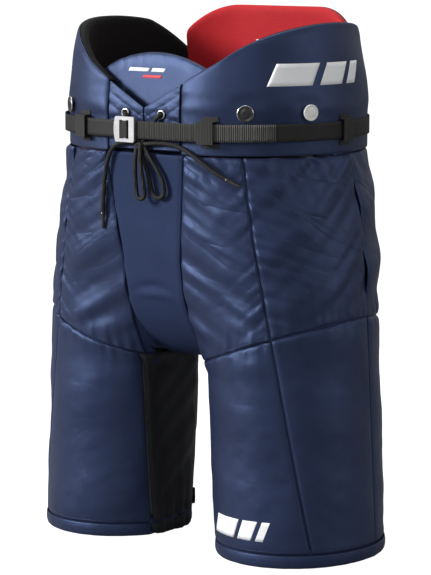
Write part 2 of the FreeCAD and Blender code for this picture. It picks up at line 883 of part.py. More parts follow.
def seat_panel():
    inner_edge = [
        (gap / 2, panel_top_z),
        (gap / 2, thigh.z + gap),
        (gusset_half_width + gap, thigh.z + gap),
        (gusset_half_width + gap, 0),
    ]
    layer = pants_layer(0, cover_thickness)
    return layer.common(above_thigh_seam(inner_edge)).common(behind(side_back_y + gap / 2))


def hip_guard(start, end, drop, margin):
    """A guard at the outer side of the hip, larger by a margin."""
    half_depth = guard_half_depth + margin
    zone = block(guard_inner_x - margin, big, -half_depth, half_depth, girdle.z - drop, guard_top_z)
    return pants_layer(start, end).common(zone)


def tailbone_plate():
    zone = block(0, tailbone_half_width, 0, big, girdle.z - tailbone_drop, guard_top_z)
    return with_mirror(pants_layer(plate_start, plate_end).common(zone))


def waist_lining():
    zone = slab(girdle.z - waist_lining_drop, girdle.z - waist_lining_top_drop)
    return with_mirror(pants_layer(lining_start, lining_end).common(zone))


# ---------------------------------------------------------------- legs


def leg_inner_back():
    """The region behind the inner seam that belongs to the stretch panel."""
    return block(0, stretch_back_x, stretch_turn_y, big, 0, big)


def thigh_cover():
    layer = pants_layer(0, cover_thickness).common(below_thigh_seam(hem_height + gap))
    inner_side = block(0, inner_seam_x + gap / 2, -big, big, 0, big)
    return layer.common(front_of_side_seam()).cut([inner_side, leg_inner_back()])


def side_cover():
    layer = pants_layer(0, cover_thickness).common(below_thigh_seam(hem_height + gap))
    return layer.common(behind_side_seam())


def back_cover():
    layer = pants_layer(0, cover_thickness).common(below_thigh_seam(hem_height + gap))
    zone = block(stretch_back_x + gap / 2, big, side_back_y + gap / 2, big, 0, big)
    return layer.common(zone)


def inner_leg_panel():
    """Stretch fabric on the inner wall and round the inner back of the leg."""
    x1, x2 = inner_seam_x - gap / 2, stretch_back_x - gap / 2
    y1 = stretch_turn_y
    outline = [(0, -big), (x1, -big), (x1, y1), (x2, y1), (x2, big), (0, big)]
    layer = pants_layer(stretch_start, stretch_end).common(below_thigh_seam(hem_height + gap))
    return layer.common(plan_prism(outline))


def hem_band():
    return pants_layer(0, cover_thickness).common(slab(0, hem_height))


def thigh_plate():
    """The rigid guard in front of the thigh and round its outer side."""
    x0, x1, y0, y1 = thigh_plate_inner_x, thigh_plate_outer_x, thigh_plate_inner_y, side_back_y
    outline = [(x0, -big), (big, -big), (big, y1), (x1, y1), (x0, y0)]
    layer = pants_layer(plate_start, plate_end)
    return layer.common(below_thigh_seam(thigh_plate_bottom_z, seam_margin)).common(plan_prism(outline))


def thigh_foam():
    """It ends where the lining's flat inner wall starts."""
    zone = block(inner_wall_x + lining_wall, big, -big, side_back_y - gap, 0, big)
    layer = pants_layer(foam_start, foam_end, foam_start, lining_wall - layer_gap)
    layer = layer.common(below_thigh_seam(leg_foam_bottom_z, seam_margin))
    return layer.common(zone).cut(leg_inner_back())


def back_foam():
    zone = block(stretch_back_x + gap, big, side_back_y + gap, big, 0, big)
    layer = pants_layer(foam_start, foam_end)
    return layer.common(below_thigh_seam(leg_foam_bottom_z, seam_margin)).common(zone)


def leg_lining():
    layer = pants_layer(lining_start, lining_end, lining_wall, lining_wall + lining_thickness)
    return layer.common(below_thigh_seam(lining_bottom_z, seam_margin))


# ---------------------------------------------------------------- the nodes


def paired_pieces():
    """Pieces that come as a left one and its mirror image, built on the left."""
    kidney = girdle_layer(plate_start, plate_end).common(wing_region(inner_margin))
    wing_lining = girdle_layer(foam_start, girdle_foam_end).common(wing_region())
    return {
        "wing_cover": wing_cover(),
        "kidney_plate": kidney,
        "wing_lining": wing_lining,
        "fly_flap": fly_flap(),
        "front_panel": front_panel(),
        "side_panel": side_panel(),
        "seat_panel": seat_panel(),
        "hip_plate": hip_guard(plate_start, plate_end, hip_plate_drop, 0),
        "hip_foam": hip_guard(foam_start, foam_end, hip_foam_drop, inner_margin),
        "thigh_cover": thigh_cover(),
        "side_cover": side_cover(),
        "back_cover": back_cover(),
        "inner_leg_panel": inner_leg_panel(),
        "hem_band": hem_band(),
        "thigh_plate": thigh_plate(),
        "thigh_foam": thigh_foam(),
        "back_foam": back_foam(),
        "leg_lining": leg_lining(),
    }


def single_pieces():
    front, side, back = front_button_seat(), side_button_seat(), back_button_seat()
    washers = [w for seat in (front, side, back) for w in pair(button_washer, seat)]
    eyelet = lace_eyelet()
    spine_plate = girdle_layer(plate_start, plate_end).common(spine_region(inner_margin))
    spine_lining = girdle_layer(foam_start, girdle_foam_end).common(spine_region())
    return {
        "spine_cover": spine_cover(),
        "spine_plate": with_mirror(spine_plate),
        "spine_lining": with_mirror(spine_lining),
        "tongue_pad": tongue_pad(),
        "lace_eyelets": together([eyelet, mirrored(eyelet)]),
        "belt_band": belt_band(),
        "belt_tail": belt_tail(),
        "belt_loops": belt_loops(),
        "buckle_frame": buckle_frame(),
        "buckle_bar": buckle_bar(),
        "belt_bight": belt_bight(),
        "dark_buttons": together(pair(button, front) + pair(button, back)),
        "side_buttons": together(pair(button, side)),
        "button_washers": together(washers),
        "crotch_gusset": crotch_gusset(),
        "tailbone_plate": tailbone_plate(),
        "waist_lining": waist_lining(),
        "lace_knot": lace_knot(),
        "lace_tie": lace("lace_tie", lace_tie_route),
        "right_lace_tail": lace("right_lace_tail", right_tail_route),
        "left_lace_tail": lace("left_lace_tail", left_tail_route),
        "right_lace_loop": lace("right_lace_loop", right_loop_route),
        "left_lace_loop": lace("left_lace_loop", left_loop_route),
        "lace_aglets": together([aglet(right_tail_route), aglet(left_tail_route)]),
    }


nodes = dict(single_pieces())
for name, shape in paired_pieces().items():
    nodes["left_" + name] = shape
    nodes["right_" + name] = mirrored(shape)

os.makedirs("parts", exist_ok=True)
for name, shape in nodes.items():
    shape.exportStep(f"parts/{name}.step")
print(len(nodes), "nodes")
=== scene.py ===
import bpy
import bmesh
import math
from mathutils import Matrix, Vector, noise
from mathutils.bvhtree import BVHTree


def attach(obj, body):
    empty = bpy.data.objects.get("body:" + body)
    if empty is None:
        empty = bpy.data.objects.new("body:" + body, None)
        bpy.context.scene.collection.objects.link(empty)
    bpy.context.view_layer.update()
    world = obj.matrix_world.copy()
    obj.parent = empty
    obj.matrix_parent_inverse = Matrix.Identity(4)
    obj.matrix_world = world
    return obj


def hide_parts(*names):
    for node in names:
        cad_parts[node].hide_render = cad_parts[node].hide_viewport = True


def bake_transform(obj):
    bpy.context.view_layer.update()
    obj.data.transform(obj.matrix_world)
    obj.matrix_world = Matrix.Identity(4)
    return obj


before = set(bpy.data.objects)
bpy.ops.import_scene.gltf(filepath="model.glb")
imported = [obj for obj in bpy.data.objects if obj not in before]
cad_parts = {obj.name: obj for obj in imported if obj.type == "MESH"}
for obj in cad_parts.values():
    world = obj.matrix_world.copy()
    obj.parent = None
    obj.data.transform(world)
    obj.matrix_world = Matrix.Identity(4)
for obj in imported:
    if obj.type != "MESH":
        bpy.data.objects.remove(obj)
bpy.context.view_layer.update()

print("stage: frame loaded")

# Plan sections of the outer face: height, spread, half width, half depth, set back
planSections = [
    (0.000, 0.125, 0.092, 0.104, -0.006),
    (0.205, 0.114, 0.092, 0.106, -0.005),
    (0.300, 0.104, 0.097, 0.112, -0.003),
    (0.370, 0.080, 0.113, 0.124, 0.000),
    (0.452, 0.045, 0.132, 0.136, 0.004),
    (0.502, 0.045, 0.132, 0.136, 0.004),
    (0.606, 0.045, 0.117143, 0.126449, 0.004),
]
crotchZ, thighZ, panelTopZ = 0.205, 0.300, 0.4515
innerWallX, seamInnerX, stretchBackX, sideBackY = 0.041, 0.046, 0.100, 0.014
gap = 0.00025
sides = {"left": 1, "right": -1}


# ---- the form that every sheet follows
mergeDistance = 0.00002  # CAD corners closer than this are one


def mix(a, b, t):
    return a + (b - a) * t


def clamp(x, low=0.0, high=1.0):
    return max(low, min(high, x))


def smooth(low, high, x):
    t = clamp((x - low) / (high - low))
    return t * t * (3 - 2 * t)


def sectionAt(z):
    z = clamp(z, planSections[0][0], planSections[-1][0])
    for low, high in zip(planSections, planSections[1:]):
        if z <= high[0]:
            t = (z - low[0]) / (high[0] - low[0])
            return [mix(a, b, t) for a, b in zip(low[1:], high[1:])]


def ringPoint(angle, z, depth=0.0):
    spread, a, b, back = sectionAt(z)
    return Vector((spread + (a - depth) * math.cos(angle), back + (b - depth) * math.sin(angle), z))


def faceY(x, z, facing, depth=0.0):
    # facing is -1 at the front and 1 at the back
    spread, a, b, back = sectionAt(z)
    a, b = a - depth, b - depth
    across = clamp(1 - ((x - spread) / a) ** 2)
    reach = b * math.sqrt(across)
    if x < spread:
        if facing > 0:  # the leg's inner back is cut off flat
            reach = min(reach, (0.074 - depth + 0.8 * (x - spread)) / 0.6)
        reach = mix(reach, b, clamp((z - crotchZ) / (thighZ - crotchZ)))
    return back + facing * reach


def thighSeamZ(x):
    return 0.215 + (x - innerWallX) * 0.057 / 0.164


def sideSeamX(z):
    return 0.193 - 0.075 * z / 0.452


def sideAngles(z):
    # where the side panel starts at the front seam and ends at the back seam
    spread, a, b, back = sectionAt(z)
    start = -math.acos(clamp((sideSeamX(z) - spread) / a, -1, 1))
    end = math.asin(clamp((sideBackY - back) / b, -1, 1))
    return start, end


def faceRow(f, facing, inner, outer, low, high, v, depth):
    # a point of the front or back, between two seams given in x and two given in z
    z = mix(low(0.1), high, v)
    for step in range(6):
        x = mix(inner(z), outer(z), f)
        z = mix(low(x), high, v)
    return Vector((x, faceY(x, z, facing, depth), z))


def spread01(count):
    return [i / count for i in range(count + 1)]


def aboveSeam(x):
    return thighSeamZ(x) + gap


def fromHem(x):
    return 0.0154


def gussetEdge(z):
    return 0.0404 if z < 0.33 else mix(0.0404, 0.0544, (z - 0.33) / 0.1215)


def frontRow(v, depth=0.0):
    return [faceRow(f, -1, gussetEdge, lambda z: sideSeamX(z) - gap, aboveSeam, panelTopZ, v, depth)
            for f in spread01(28)]


def sideRow(v, depth=0.0, low=aboveSeam, high=panelTopZ, highSeam=False):
    points = []
    for f in spread01(28):
        z = mix(low(0.2), high, v)
        for step in range(6):
            start, end = sideAngles(z)
            point = ringPoint(mix(start + 0.003, end, f), z, depth)
            top = thighSeamZ(point.x) - gap if highSeam else high
            z = mix(low(point.x), top, v)
        points.append(Vector((point.x, point.y, z)))
    return points


def backRow(v, depth=0.0, low=aboveSeam, high=panelTopZ, inner=0.00025, highSeam=False):
    # from the side/back seam round the back towards the middle
    points = []
    for f in spread01(30):
        z = mix(low(0.15), high, v)
        for step in range(6):
            end = sideAngles(z)[1] + 0.003
            spread = sectionAt(z)[0]
            target = inner(z, v) if callable(inner) else inner
            if target < spread:
                point = ringPoint(mix(end, math.pi / 2, min(1, f / 0.62)), z, depth)
                if f > 0.62:
                    x = mix(spread, target, (f - 0.62) / 0.38)
                    point = Vector((x, faceY(x, z, 1, depth), z))
            else:
                reach = math.acos(clamp((target - spread) / sectionAt(z)[1], -1, 1))
                point = ringPoint(mix(end, reach, f), z, depth)
            top = thighSeamZ(point.x) - gap if highSeam else high
            z = mix(low(point.x), top, v)
        points.append(Vector((point.x, point.y, z)))
    return points


def seatRow(v, depth=0.0):
    return backRow(v, depth, inner=lambda z, level: 0.0404 if level < 0.395 else 0.00025)


def thighRow(v, depth=0.0):
    points = []
    for f in spread01(28):
        z = mix(0.0154, 0.24, v)
        for step in range(6):
            x = mix(seamInnerX, sideSeamX(z) - gap, f)
            z = mix(0.0154, thighSeamZ(x) - gap, v)
        points.append(Vector((x, faceY(x, z, -1, depth), z)))
    return points


def sideCoverRow(v, depth=0.0):
    return sideRow(v, depth, fromHem, 0.27, True)


def backCoverRow(v, depth=0.0):
    return backRow(v, depth, fromHem, 0.25, stretchBackX, True)


def innerPath(z, depth):
    # the inner side of a leg, from the front seam, along the flat wall and round to the back seam
    wallX = innerWallX * (1 - clamp((z - crotchZ) / (thighZ - crotchZ))) + depth * 0.6
    front = [Vector((x, faceY(x, z, -1, depth), z)) for x in (seamInnerX, (seamInnerX + wallX) / 2, wallX)]
    wall = [Vector((wallX, mix(front[-1].y, faceY(wallX, z, 1, depth), f), z)) for f in spread01(14)[1:]]
    back = [Vector((x, faceY(x, z, 1, depth), z))
            for x in [mix(wallX, stretchBackX, f) for f in spread01(14)[1:]]]
    return front + wall + back


def innerRow(v, depth=0.0012):
    points = innerPath(0.2, depth)
    return [Vector((q.x, q.y, mix(0.0154, thighSeamZ(p.x) - gap, v)))
            for p, q in zip(points, innerPath(mix(0.0154, thighSeamZ(0.06), v), depth))]


def outerPath(z, depth):
    # the outer side of a leg, from the front seam of the stretch panel round to its back seam
    spread, a, b, back = sectionAt(z)
    start = -math.acos(clamp((seamInnerX - spread) / (a - depth), -1, 1))
    end = math.acos(clamp((stretchBackX - spread) / (a - depth), -1, 1))
    return [ringPoint(mix(start, end, f), z, depth) for f in spread01(60)]


def wingTopZ(point):
    # the lower of the wing's front outline and its side outline
    x, y = point.x, point.y
    if x < 0.090:
        front = 0.502 + 0.567 * x
    else:
        f = clamp((x - 0.090) / 0.095)
        front = mix(mix(0.5530, 0.5905, f), mix(0.5905, 0.600, f), f)
    back = 0.600
    if y > 0.01465:
        back = 0.48393 + math.sqrt(max(0, 0.11699 ** 2 - (y - 0.01465) ** 2))
    return min(front, back, 0.5962)


def wingPoint(f, rise, depth):
    # rise turns the height of the top edge above a point into the height of the point
    z = 0.55
    for step in range(7):
        spread, a, b, back = sectionAt(z)
        start = -math.acos(clamp((0.0505 - spread) / a, -1, 1))
        end = math.acos(clamp((0.1145 - spread) / a, -1, 1))
        point = ringPoint(mix(start, end, f), z, depth)
        outer = ringPoint(mix(start, end, f), z)
        z = rise(wingTopZ(outer))
    return Vector((point.x, point.y, z))


def spineTopZ(x):
    x = abs(x)
    return 0.606 if x < 0.057 else 0.534 + math.sqrt(max(0, 0.072007 ** 2 - (x - 0.057) ** 2))


# ---- sheets: a grid whose rows are laid on the form

def alongRow(points, u):
    lengths = [(b - a).length for a, b in zip(points, points[1:])]
    rest = u * sum(lengths)
    for a, b, length in zip(points, points[1:], lengths):
        if rest <= length or b is points[-1]:
            return a.lerp(b, clamp(rest / max(length, 1e-9)))
        rest -= length


def rowLength(points):
    return sum((b - a).length for a, b in zip(points, points[1:]))


def link(name, bm, material=None):
    mesh = bpy.data.meshes.new(name)
    bm.to_mesh(mesh)
    bm.free()
    piece = bpy.data.objects.new(name, mesh)
    bpy.context.scene.collection.objects.link(piece)
    if material:
        mesh.materials.append(material)
    for polygon in mesh.polygons:
        polygon.use_smooth = True
    return piece


def makeSheet(name, row, columns, rows, centre, material, hand=1, away=1):
    # returns the piece and, for each vertex, its place across, up and in metres
    bm = bmesh.new()
    bmesh.ops.create_grid(bm, x_segments=columns, y_segments=rows, size=0.5)
    weave, seam = bm.loops.layers.uv.new("weave"), bm.loops.layers.uv.new("seam")
    tracks, facts = {}, []
    middle = row(0.5)
    rise = sum((row(1)[i] - row(0)[i]).length for i in (0, len(middle) // 2, -1)) / 3
    for vert in bm.verts:
        u, v = clamp(vert.co.x + 0.5), clamp(vert.co.y + 0.5)
        key = round(v, 5)
        if key not in tracks:
            points = row(v)
            tracks[key] = points, rowLength(points)
        points, length = tracks[key]
        vert.co = alongRow(points, u)
        vert.co.x *= hand
        across, up = min(u, 1 - u) * length, min(v, 1 - v) * rise
        edge = (across, v * rise) if across < up else (up, u * length)
        facts.append((u, v, (u - 0.5) * length, v * rise, edge))
    for face in bm.faces:
        for loop in face.loops:
            fact = facts[loop.vert.index]
            loop[weave].uv = fact[2] + 0.5, fact[3]
            loop[seam].uv = fact[4]
    bm.normal_update()
    middlePoint = Vector((centre[0] * hand, centre[1], 0))
    facing = sum(face.normal.dot(face.calc_center_median()
                                 - Vector((middlePoint.x, middlePoint.y, face.calc_center_median().z)))
                 for face in bm.faces)
    if facing * away < 0:
        bmesh.ops.reverse_faces(bm, faces=bm.faces[:])
    return link(name, bm, material), facts


def sculpt(piece, facts, height):
    # moves every point along its own normal
    normals = [vert.normal.copy() for vert in piece.data.vertices]
    for vert, normal, fact in zip(piece.data.vertices, normals, facts):
        vert.co += normal * height(fact[0], fact[1], vert.co.copy())
    piece.data.update()


def finishSheet(piece, thickness, levels=1, insideOut=-1.0, rimMaterial=None):
    wall = piece.modifiers.new("wall", "SOLIDIFY")
    wall.thickness = thickness
    wall.offset = insideOut
    wall.use_even_offset = True
    if rimMaterial:
        piece.data.materials.append(rimMaterial)
        wall.material_offset = 1
        wall.material_offset_rim = 1
    if levels:
        rounder = piece.modifiers.new("round", "SUBSURF")
        rounder.levels = rounder.render_levels = levels
        rounder.uv_smooth = "PRESERVE_BOUNDARIES"


# ---- cloth: each panel is cut with fullness, pinned along its seams and left to find its folds

clothJobs = []


def cutCloth(piece, facts, hand, fullAcross, fullUp, pressure, inward, outward, seed):
    clothJobs.append((piece, facts, [v.co.copy() for v in piece.data.vertices],
                      [v.normal.copy() for v in piece.data.vertices], inward, outward))
    start = [v.co.copy() for v in piece.data.vertices]
    piece.shape_key_add(name="Basis")
    pattern = piece.shape_key_add(name="pattern")
    pins = piece.vertex_groups.new(name="pins")
    for index, (u, v, across, up, edge) in enumerate(facts):
        pattern.data[index].co = (across * (1 + fullAcross(u, v)), up * (1 + fullUp(u, v)), 0)
        pins.add([index], 1.0 if edge[0] < 0.002 else 0.0, "REPLACE")
        nudge = noise.noise(start[index] * 60 + Vector((seed, seed * 3, 0))) * 0.0006
        step = clothJobs[-1][3][index] * nudge * smooth(0.002, 0.012, edge[0])
        piece.data.shape_keys.key_blocks["Basis"].data[index].co = start[index] + step
    cloth = piece.modifiers.new("cloth", "CLOTH")
    fabric = cloth.settings
    fabric.quality = 6
    fabric.mass = 0.15
    fabric.tension_stiffness = fabric.compression_stiffness = 12
    fabric.shear_stiffness = 4
    fabric.bending_stiffness = 0.06
    fabric.air_damping = 3
    fabric.rest_shape_key = pattern
    fabric.vertex_group_mass = "pins"
    fabric.pin_stiffness = 1
    fabric.use_pressure = True
    fabric.uniform_pressure_force = pressure
    fabric.effector_weights.gravity = 0
    cloth.collision_settings.use_collision = False


def settleCloth(frames=18):
    for number in range(1, frames + 1):
        bpy.context.scene.frame_set(number)
    graph = bpy.context.evaluated_depsgraph_get()
    for piece, facts, base, normals, inward, outward in clothJobs:
        settled = [v.co.copy() for v in piece.evaluated_get(graph).data.vertices]
        piece.modifiers.remove(piece.modifiers["cloth"])
        piece.shape_key_clear()
        for vert, place, normal, new, fact in zip(piece.data.vertices, base, normals, settled, facts):
            move = new - place
            out = clamp(move.dot(normal), -inward, outward)
            aside = move - normal * move.dot(normal)
            if aside.length > 0.002:
                aside *= 0.002 / aside.length
            vert.co = place + normal * out + aside
        piece.vertex_groups.clear()
        piece.data.update()
    bpy.context.scene.frame_set(1)
    print("stage: cloth settled", len(clothJobs), "panels")


# ---- node groups used by several finishes

def newGroup(name, inputs, outputs):
    group = bpy.data.node_groups.new(name, "ShaderNodeTree")
    for label, kind, value in inputs:
        socket = group.interface.new_socket(label, in_out="INPUT", socket_type=kind)
        if value is not None:
            socket.default_value = value
    for label, kind in outputs:
        group.interface.new_socket(label, in_out="OUTPUT", socket_type=kind)
    return group, group.nodes.new("NodeGroupInput"), group.nodes.new("NodeGroupOutput")


def mathNode(tree, operation, a, b=None):
    node = tree.nodes.new("ShaderNodeMath")
    node.operation = operation
    for socket, value in zip(node.inputs, (a, b)):
        if value is None:
            continue
        if isinstance(value, (int, float)):
            socket.default_value = value
        else:
            tree.links.new(value, socket)
    return node.outputs[0]


def waveAlong(tree, vector, scale, direction):
    # a round wave along one axis, 0 to 1, with scale waves in a metre
    split = tree.nodes.new("ShaderNodeSeparateXYZ")
    tree.links.new(vector, split.inputs[0])
    turns = mathNode(tree, "MULTIPLY", split.outputs[direction], math.tau)
    turns = mathNode(tree, "MULTIPLY", turns, scale)
    return mathNode(tree, "MULTIPLY_ADD", mathNode(tree, "SINE", turns), 0.5)


def buildWeaveGroup():
    group, inside, outside = newGroup(
        "wovenThreads",
        [("Vector", "NodeSocketVector", None), ("Threads", "NodeSocketFloat", 1800.0),
         ("Slub", "NodeSocketFloat", 0.4)],
        [("Height", "NodeSocketFloat"), ("Shade", "NodeSocketFloat")],
    )
    warp = waveAlong(group, inside.outputs["Vector"], inside.outputs["Threads"], "X")
    weft = waveAlong(group, inside.outputs["Vector"], inside.outputs["Threads"], "Y")
    woven = mathNode(group, "MULTIPLY", warp, weft)
    uneven = group.nodes.new("ShaderNodeTexNoise")
    uneven.inputs["Scale"].default_value = 240
    uneven.inputs["Detail"].default_value = 3
    group.links.new(inside.outputs["Vector"], uneven.inputs["Vector"])
    slub = mathNode(group, "MULTIPLY", uneven.outputs[0], inside.outputs["Slub"])
    group.links.new(mathNode(group, "ADD", woven, slub), outside.inputs["Height"])
    group.links.new(mathNode(group, "ADD", mathNode(group, "MULTIPLY", woven, 0.5), slub),
                    outside.inputs["Shade"])
    return group


def buildStitchGroup():
    group, inside, outside = newGroup(
        "stitchRow",
        [("Seam", "NodeSocketVector", None), ("Inset", "NodeSocketFloat", 0.003),
         ("Pitch", "NodeSocketFloat", 340.0)],
        [("Mask", "NodeSocketFloat"), ("Furrow", "NodeSocketFloat")],
    )
    split = group.nodes.new("ShaderNodeSeparateXYZ")
    group.links.new(inside.outputs["Seam"], split.inputs[0])
    away = mathNode(group, "ABSOLUTE", mathNode(group, "SUBTRACT", split.outputs["X"], inside.outputs["Inset"]))
    line = group.nodes.new("ShaderNodeMapRange")
    line.interpolation_type = "SMOOTHSTEP"
    for name, value in (("From Min", 0.0003), ("From Max", 0.0007), ("To Min", 1.0), ("To Max", 0.0)):
        line.inputs[name].default_value = value
    group.links.new(away, line.inputs["Value"])
    dash = mathNode(group, "SINE",
                    mathNode(group, "MULTIPLY", mathNode(group, "MULTIPLY", split.outputs["Y"], math.tau),
                             inside.outputs["Pitch"]))
    dash = mathNode(group, "GREATER_THAN", dash, -0.45)
    group.links.new(mathNode(group, "MULTIPLY", line.outputs[0], dash), outside.inputs["Mask"])
    furrow = group.nodes.new("ShaderNodeMapRange")
    furrow.interpolation_type = "SMOOTHSTEP"
    for name, value in (("From Min", 0.0), ("From Max", 0.0022), ("To Min", 1.0), ("To Max", 0.0)):
        furrow.inputs[name].default_value = value
    group.links.new(away, furrow.inputs["Value"])
    group.links.new(furrow.outputs[0], outside.inputs["Furrow"])
    return group


def buildPatinaGroup():
    group, inside, outside = newGroup(
        "handledPatina",
        [("Vector", "NodeSocketVector", None), ("Scale", "NodeSocketFloat", 9.0)],
        [("Broad", "NodeSocketFloat"), ("Fine", "NodeSocketFloat")],
    )
    for label, factor, detail in (("Broad", 1.0, 3.0), ("Fine", 14.0, 5.0)):
        cloud = group.nodes.new("ShaderNodeTexNoise")
        cloud.inputs["Detail"].default_value = detail
        group.links.new(inside.outputs["Vector"], cloud.inputs["Vector"])
        group.links.new(mathNode(group, "MULTIPLY", inside.outputs["Scale"], factor), cloud.inputs["Scale"])
        group.links.new(cloud.outputs[0], outside.inputs[label])
    return group


def buildCreaseGroup():
    # thin creases that run one way, deeper towards the top of the legs
    group, inside, outside = newGroup(
        "clothCreases",
        [("Vector", "NodeSocketVector", None), ("Place", "NodeSocketVector", None),
         ("Scale", "NodeSocketFloat", 30.0),
         ("Turn", "NodeSocketFloat", 0.5), ("Low", "NodeSocketFloat", 0.25), ("High", "NodeSocketFloat", 0.43)],
        [("Height", "NodeSocketFloat")],
    )
    turn = group.nodes.new("ShaderNodeVectorRotate")
    turn.rotation_type = "Z_AXIS"
    group.links.new(inside.outputs["Vector"], turn.inputs["Vector"])
    group.links.new(inside.outputs["Turn"], turn.inputs["Angle"])
    stretch = group.nodes.new("ShaderNodeVectorMath")
    stretch.operation = "MULTIPLY"
    stretch.inputs[1].default_value = (0.26, 1.0, 1.0)
    group.links.new(turn.outputs[0], stretch.inputs[0])
    cloud = group.nodes.new("ShaderNodeTexNoise")
    cloud.inputs["Detail"].default_value = 2.5
    cloud.inputs["Roughness"].default_value = 0.45
    cloud.inputs["Distortion"].default_value = 0.5
    group.links.new(stretch.outputs[0], cloud.inputs["Vector"])
    group.links.new(inside.outputs["Scale"], cloud.inputs["Scale"])
    fold = mathNode(group, "ABSOLUTE", mathNode(group, "SUBTRACT", cloud.outputs[0], 0.5))
    fold = mathNode(group, "POWER", mathNode(group, "MULTIPLY", fold, 3.0), 0.7)
    parts = group.nodes.new("ShaderNodeSeparateXYZ")
    group.links.new(inside.outputs["Place"], parts.inputs[0])
    reach = group.nodes.new("ShaderNodeMapRange")
    reach.interpolation_type = "SMOOTHSTEP"
    reach.inputs["To Min"].default_value = 0.12
    group.links.new(parts.outputs["Z"], reach.inputs["Value"])
    group.links.new(inside.outputs["Low"], reach.inputs["From Min"])
    group.links.new(inside.outputs["High"], reach.inputs["From Max"])
    group.links.new(mathNode(group, "MULTIPLY", fold, reach.outputs[0]), outside.inputs["Height"])
    return group


weaveGroup, stitchGroup = buildWeaveGroup(), buildStitchGroup()
patinaGroup, creaseGroup = buildPatinaGroup(), buildCreaseGroup()


def placeGroup(tree, group, **values):
    node = tree.nodes.new("ShaderNodeGroup")
    node.node_tree = group
    for name, value in values.items():
        if isinstance(value, (int, float)):
            node.inputs[name].default_value = value
        else:
            tree.links.new(value, node.inputs[name])
    return node


def colourRamp(tree, factor, colours):
    ramp = tree.nodes.new("ShaderNodeValToRGB")
    for index, (place, colour) in enumerate(colours):
        stop = ramp.color_ramp.elements[index] if index < 2 else ramp.color_ramp.elements.new(place)
        stop.position = place
        stop.color = (*colour, 1)
    tree.links.new(factor, ramp.inputs[0])
    return ramp.outputs[0]


def mixColour(tree, factor, a, b):
    node = tree.nodes.new("ShaderNodeMix")
    node.data_type = "RGBA"
    tree.links.new(factor, node.inputs["Factor"])
    for socket, value in ((node.inputs[6], a), (node.inputs[7], b)):
        if isinstance(value, tuple):
            socket.default_value = (*value, 1)
        else:
            tree.links.new(value, socket)
    return node.outputs[2]


def startMaterial(name):
    material = bpy.data.materials.new(name)
    material.use_nodes = True
    tree = material.node_tree
    return material, tree, tree.nodes["Principled BSDF"]


def textCoords(tree, kind):
    if kind == "object":
        return tree.nodes.new("ShaderNodeTexCoord").outputs["Object"]
    node = tree.nodes.new("ShaderNodeUVMap")
    node.uv_map = kind
    return node.outputs[0]


def addBump(tree, height, strength, distance, before=None):
    bump = tree.nodes.new("ShaderNodeBump")
    bump.inputs["Strength"].default_value = strength
    bump.inputs["Distance"].default_value = distance
    tree.links.new(height, bump.inputs["Height"])
    if before:
        tree.links.new(before, bump.inputs["Normal"])
    return bump.outputs[0]


def makeFabric(name, look):
    material, tree, shader = startMaterial(name)
    coords = textCoords(tree, look.get("coords", "weave"))
    patina = placeGroup(tree, patinaGroup, Vector=textCoords(tree, "object"), Scale=look.get("cloud", 9.0))
    threads = placeGroup(tree, weaveGroup, Vector=coords, Threads=look["threads"], Slub=look.get("slub", 0.4))
    base = colourRamp(tree, patina.outputs["Broad"], [(0.25, look["dark"]), (0.75, look["light"])])
    colour = mixColour(tree, mathNode(tree, "MULTIPLY", threads.outputs["Shade"], look.get("contrast", 0.35)),
                       base, look["thread"])
    height = threads.outputs["Height"]
    if "ribs" in look:
        ribs = waveAlong(tree, coords, look["ribs"], look.get("ribAxis", "X"))
        height = mathNode(tree, "ADD", mathNode(tree, "MULTIPLY", ribs, look.get("ribDepth", 2.0)), height)
        colour = mixColour(tree, mathNode(tree, "MULTIPLY", ribs, look.get("ribShade", 0.4)), colour,
                           look["thread"])
    normal = addBump(tree, height, look.get("bump", 0.35), 0.0004)
    crease = placeGroup(tree, patinaGroup, Vector=coords, Scale=look.get("creaseScale", 22.0))
    normal = addBump(tree, crease.outputs["Broad"], look.get("crease", 0.25), 0.004, normal)
    if "folds" in look:
        scale, turn, depth = look["folds"]
        folds = placeGroup(tree, creaseGroup, Vector=coords, Place=textCoords(tree, "object"), Scale=scale,
                           Turn=turn)
        normal = addBump(tree, folds.outputs["Height"], depth, 0.0035, normal)
    if look.get("stitch"):
        seam = textCoords(tree, "seam")
        row = placeGroup(tree, stitchGroup, Seam=seam, Inset=look["stitch"], Pitch=330.0)
        colour = mixColour(tree, row.outputs["Mask"], colour, look["thread"])
        normal = addBump(tree, row.outputs["Furrow"], -0.55, 0.0009, normal)
        normal = addBump(tree, row.outputs["Mask"], 0.6, 0.0004, normal)
    tree.links.new(colour, shader.inputs["Base Color"])
    rough = tree.nodes.new("ShaderNodeMapRange")
    rough.inputs["To Min"].default_value = look["rough"] - 0.07
    rough.inputs["To Max"].default_value = look["rough"] + 0.09
    tree.links.new(patina.outputs["Fine"], rough.inputs["Value"])
    tree.links.new(rough.outputs[0], shader.inputs["Roughness"])
    tree.links.new(normal, shader.inputs["Normal"])
    shader.inputs["Sheen Weight"].default_value = look.get("sheen", 0.2)
    shader.inputs["Sheen Roughness"].default_value = 0.45
    shader.inputs["Sheen Tint"].default_value = (*look.get("sheenTint", look["light"]), 1)
    shader.inputs["Specular IOR Level"].default_value = look.get("gloss", 0.4)
    shader.inputs["Specular Tint"].default_value = (*look.get("glossTint", (1.0, 1.0, 1.0)), 1)
    return material


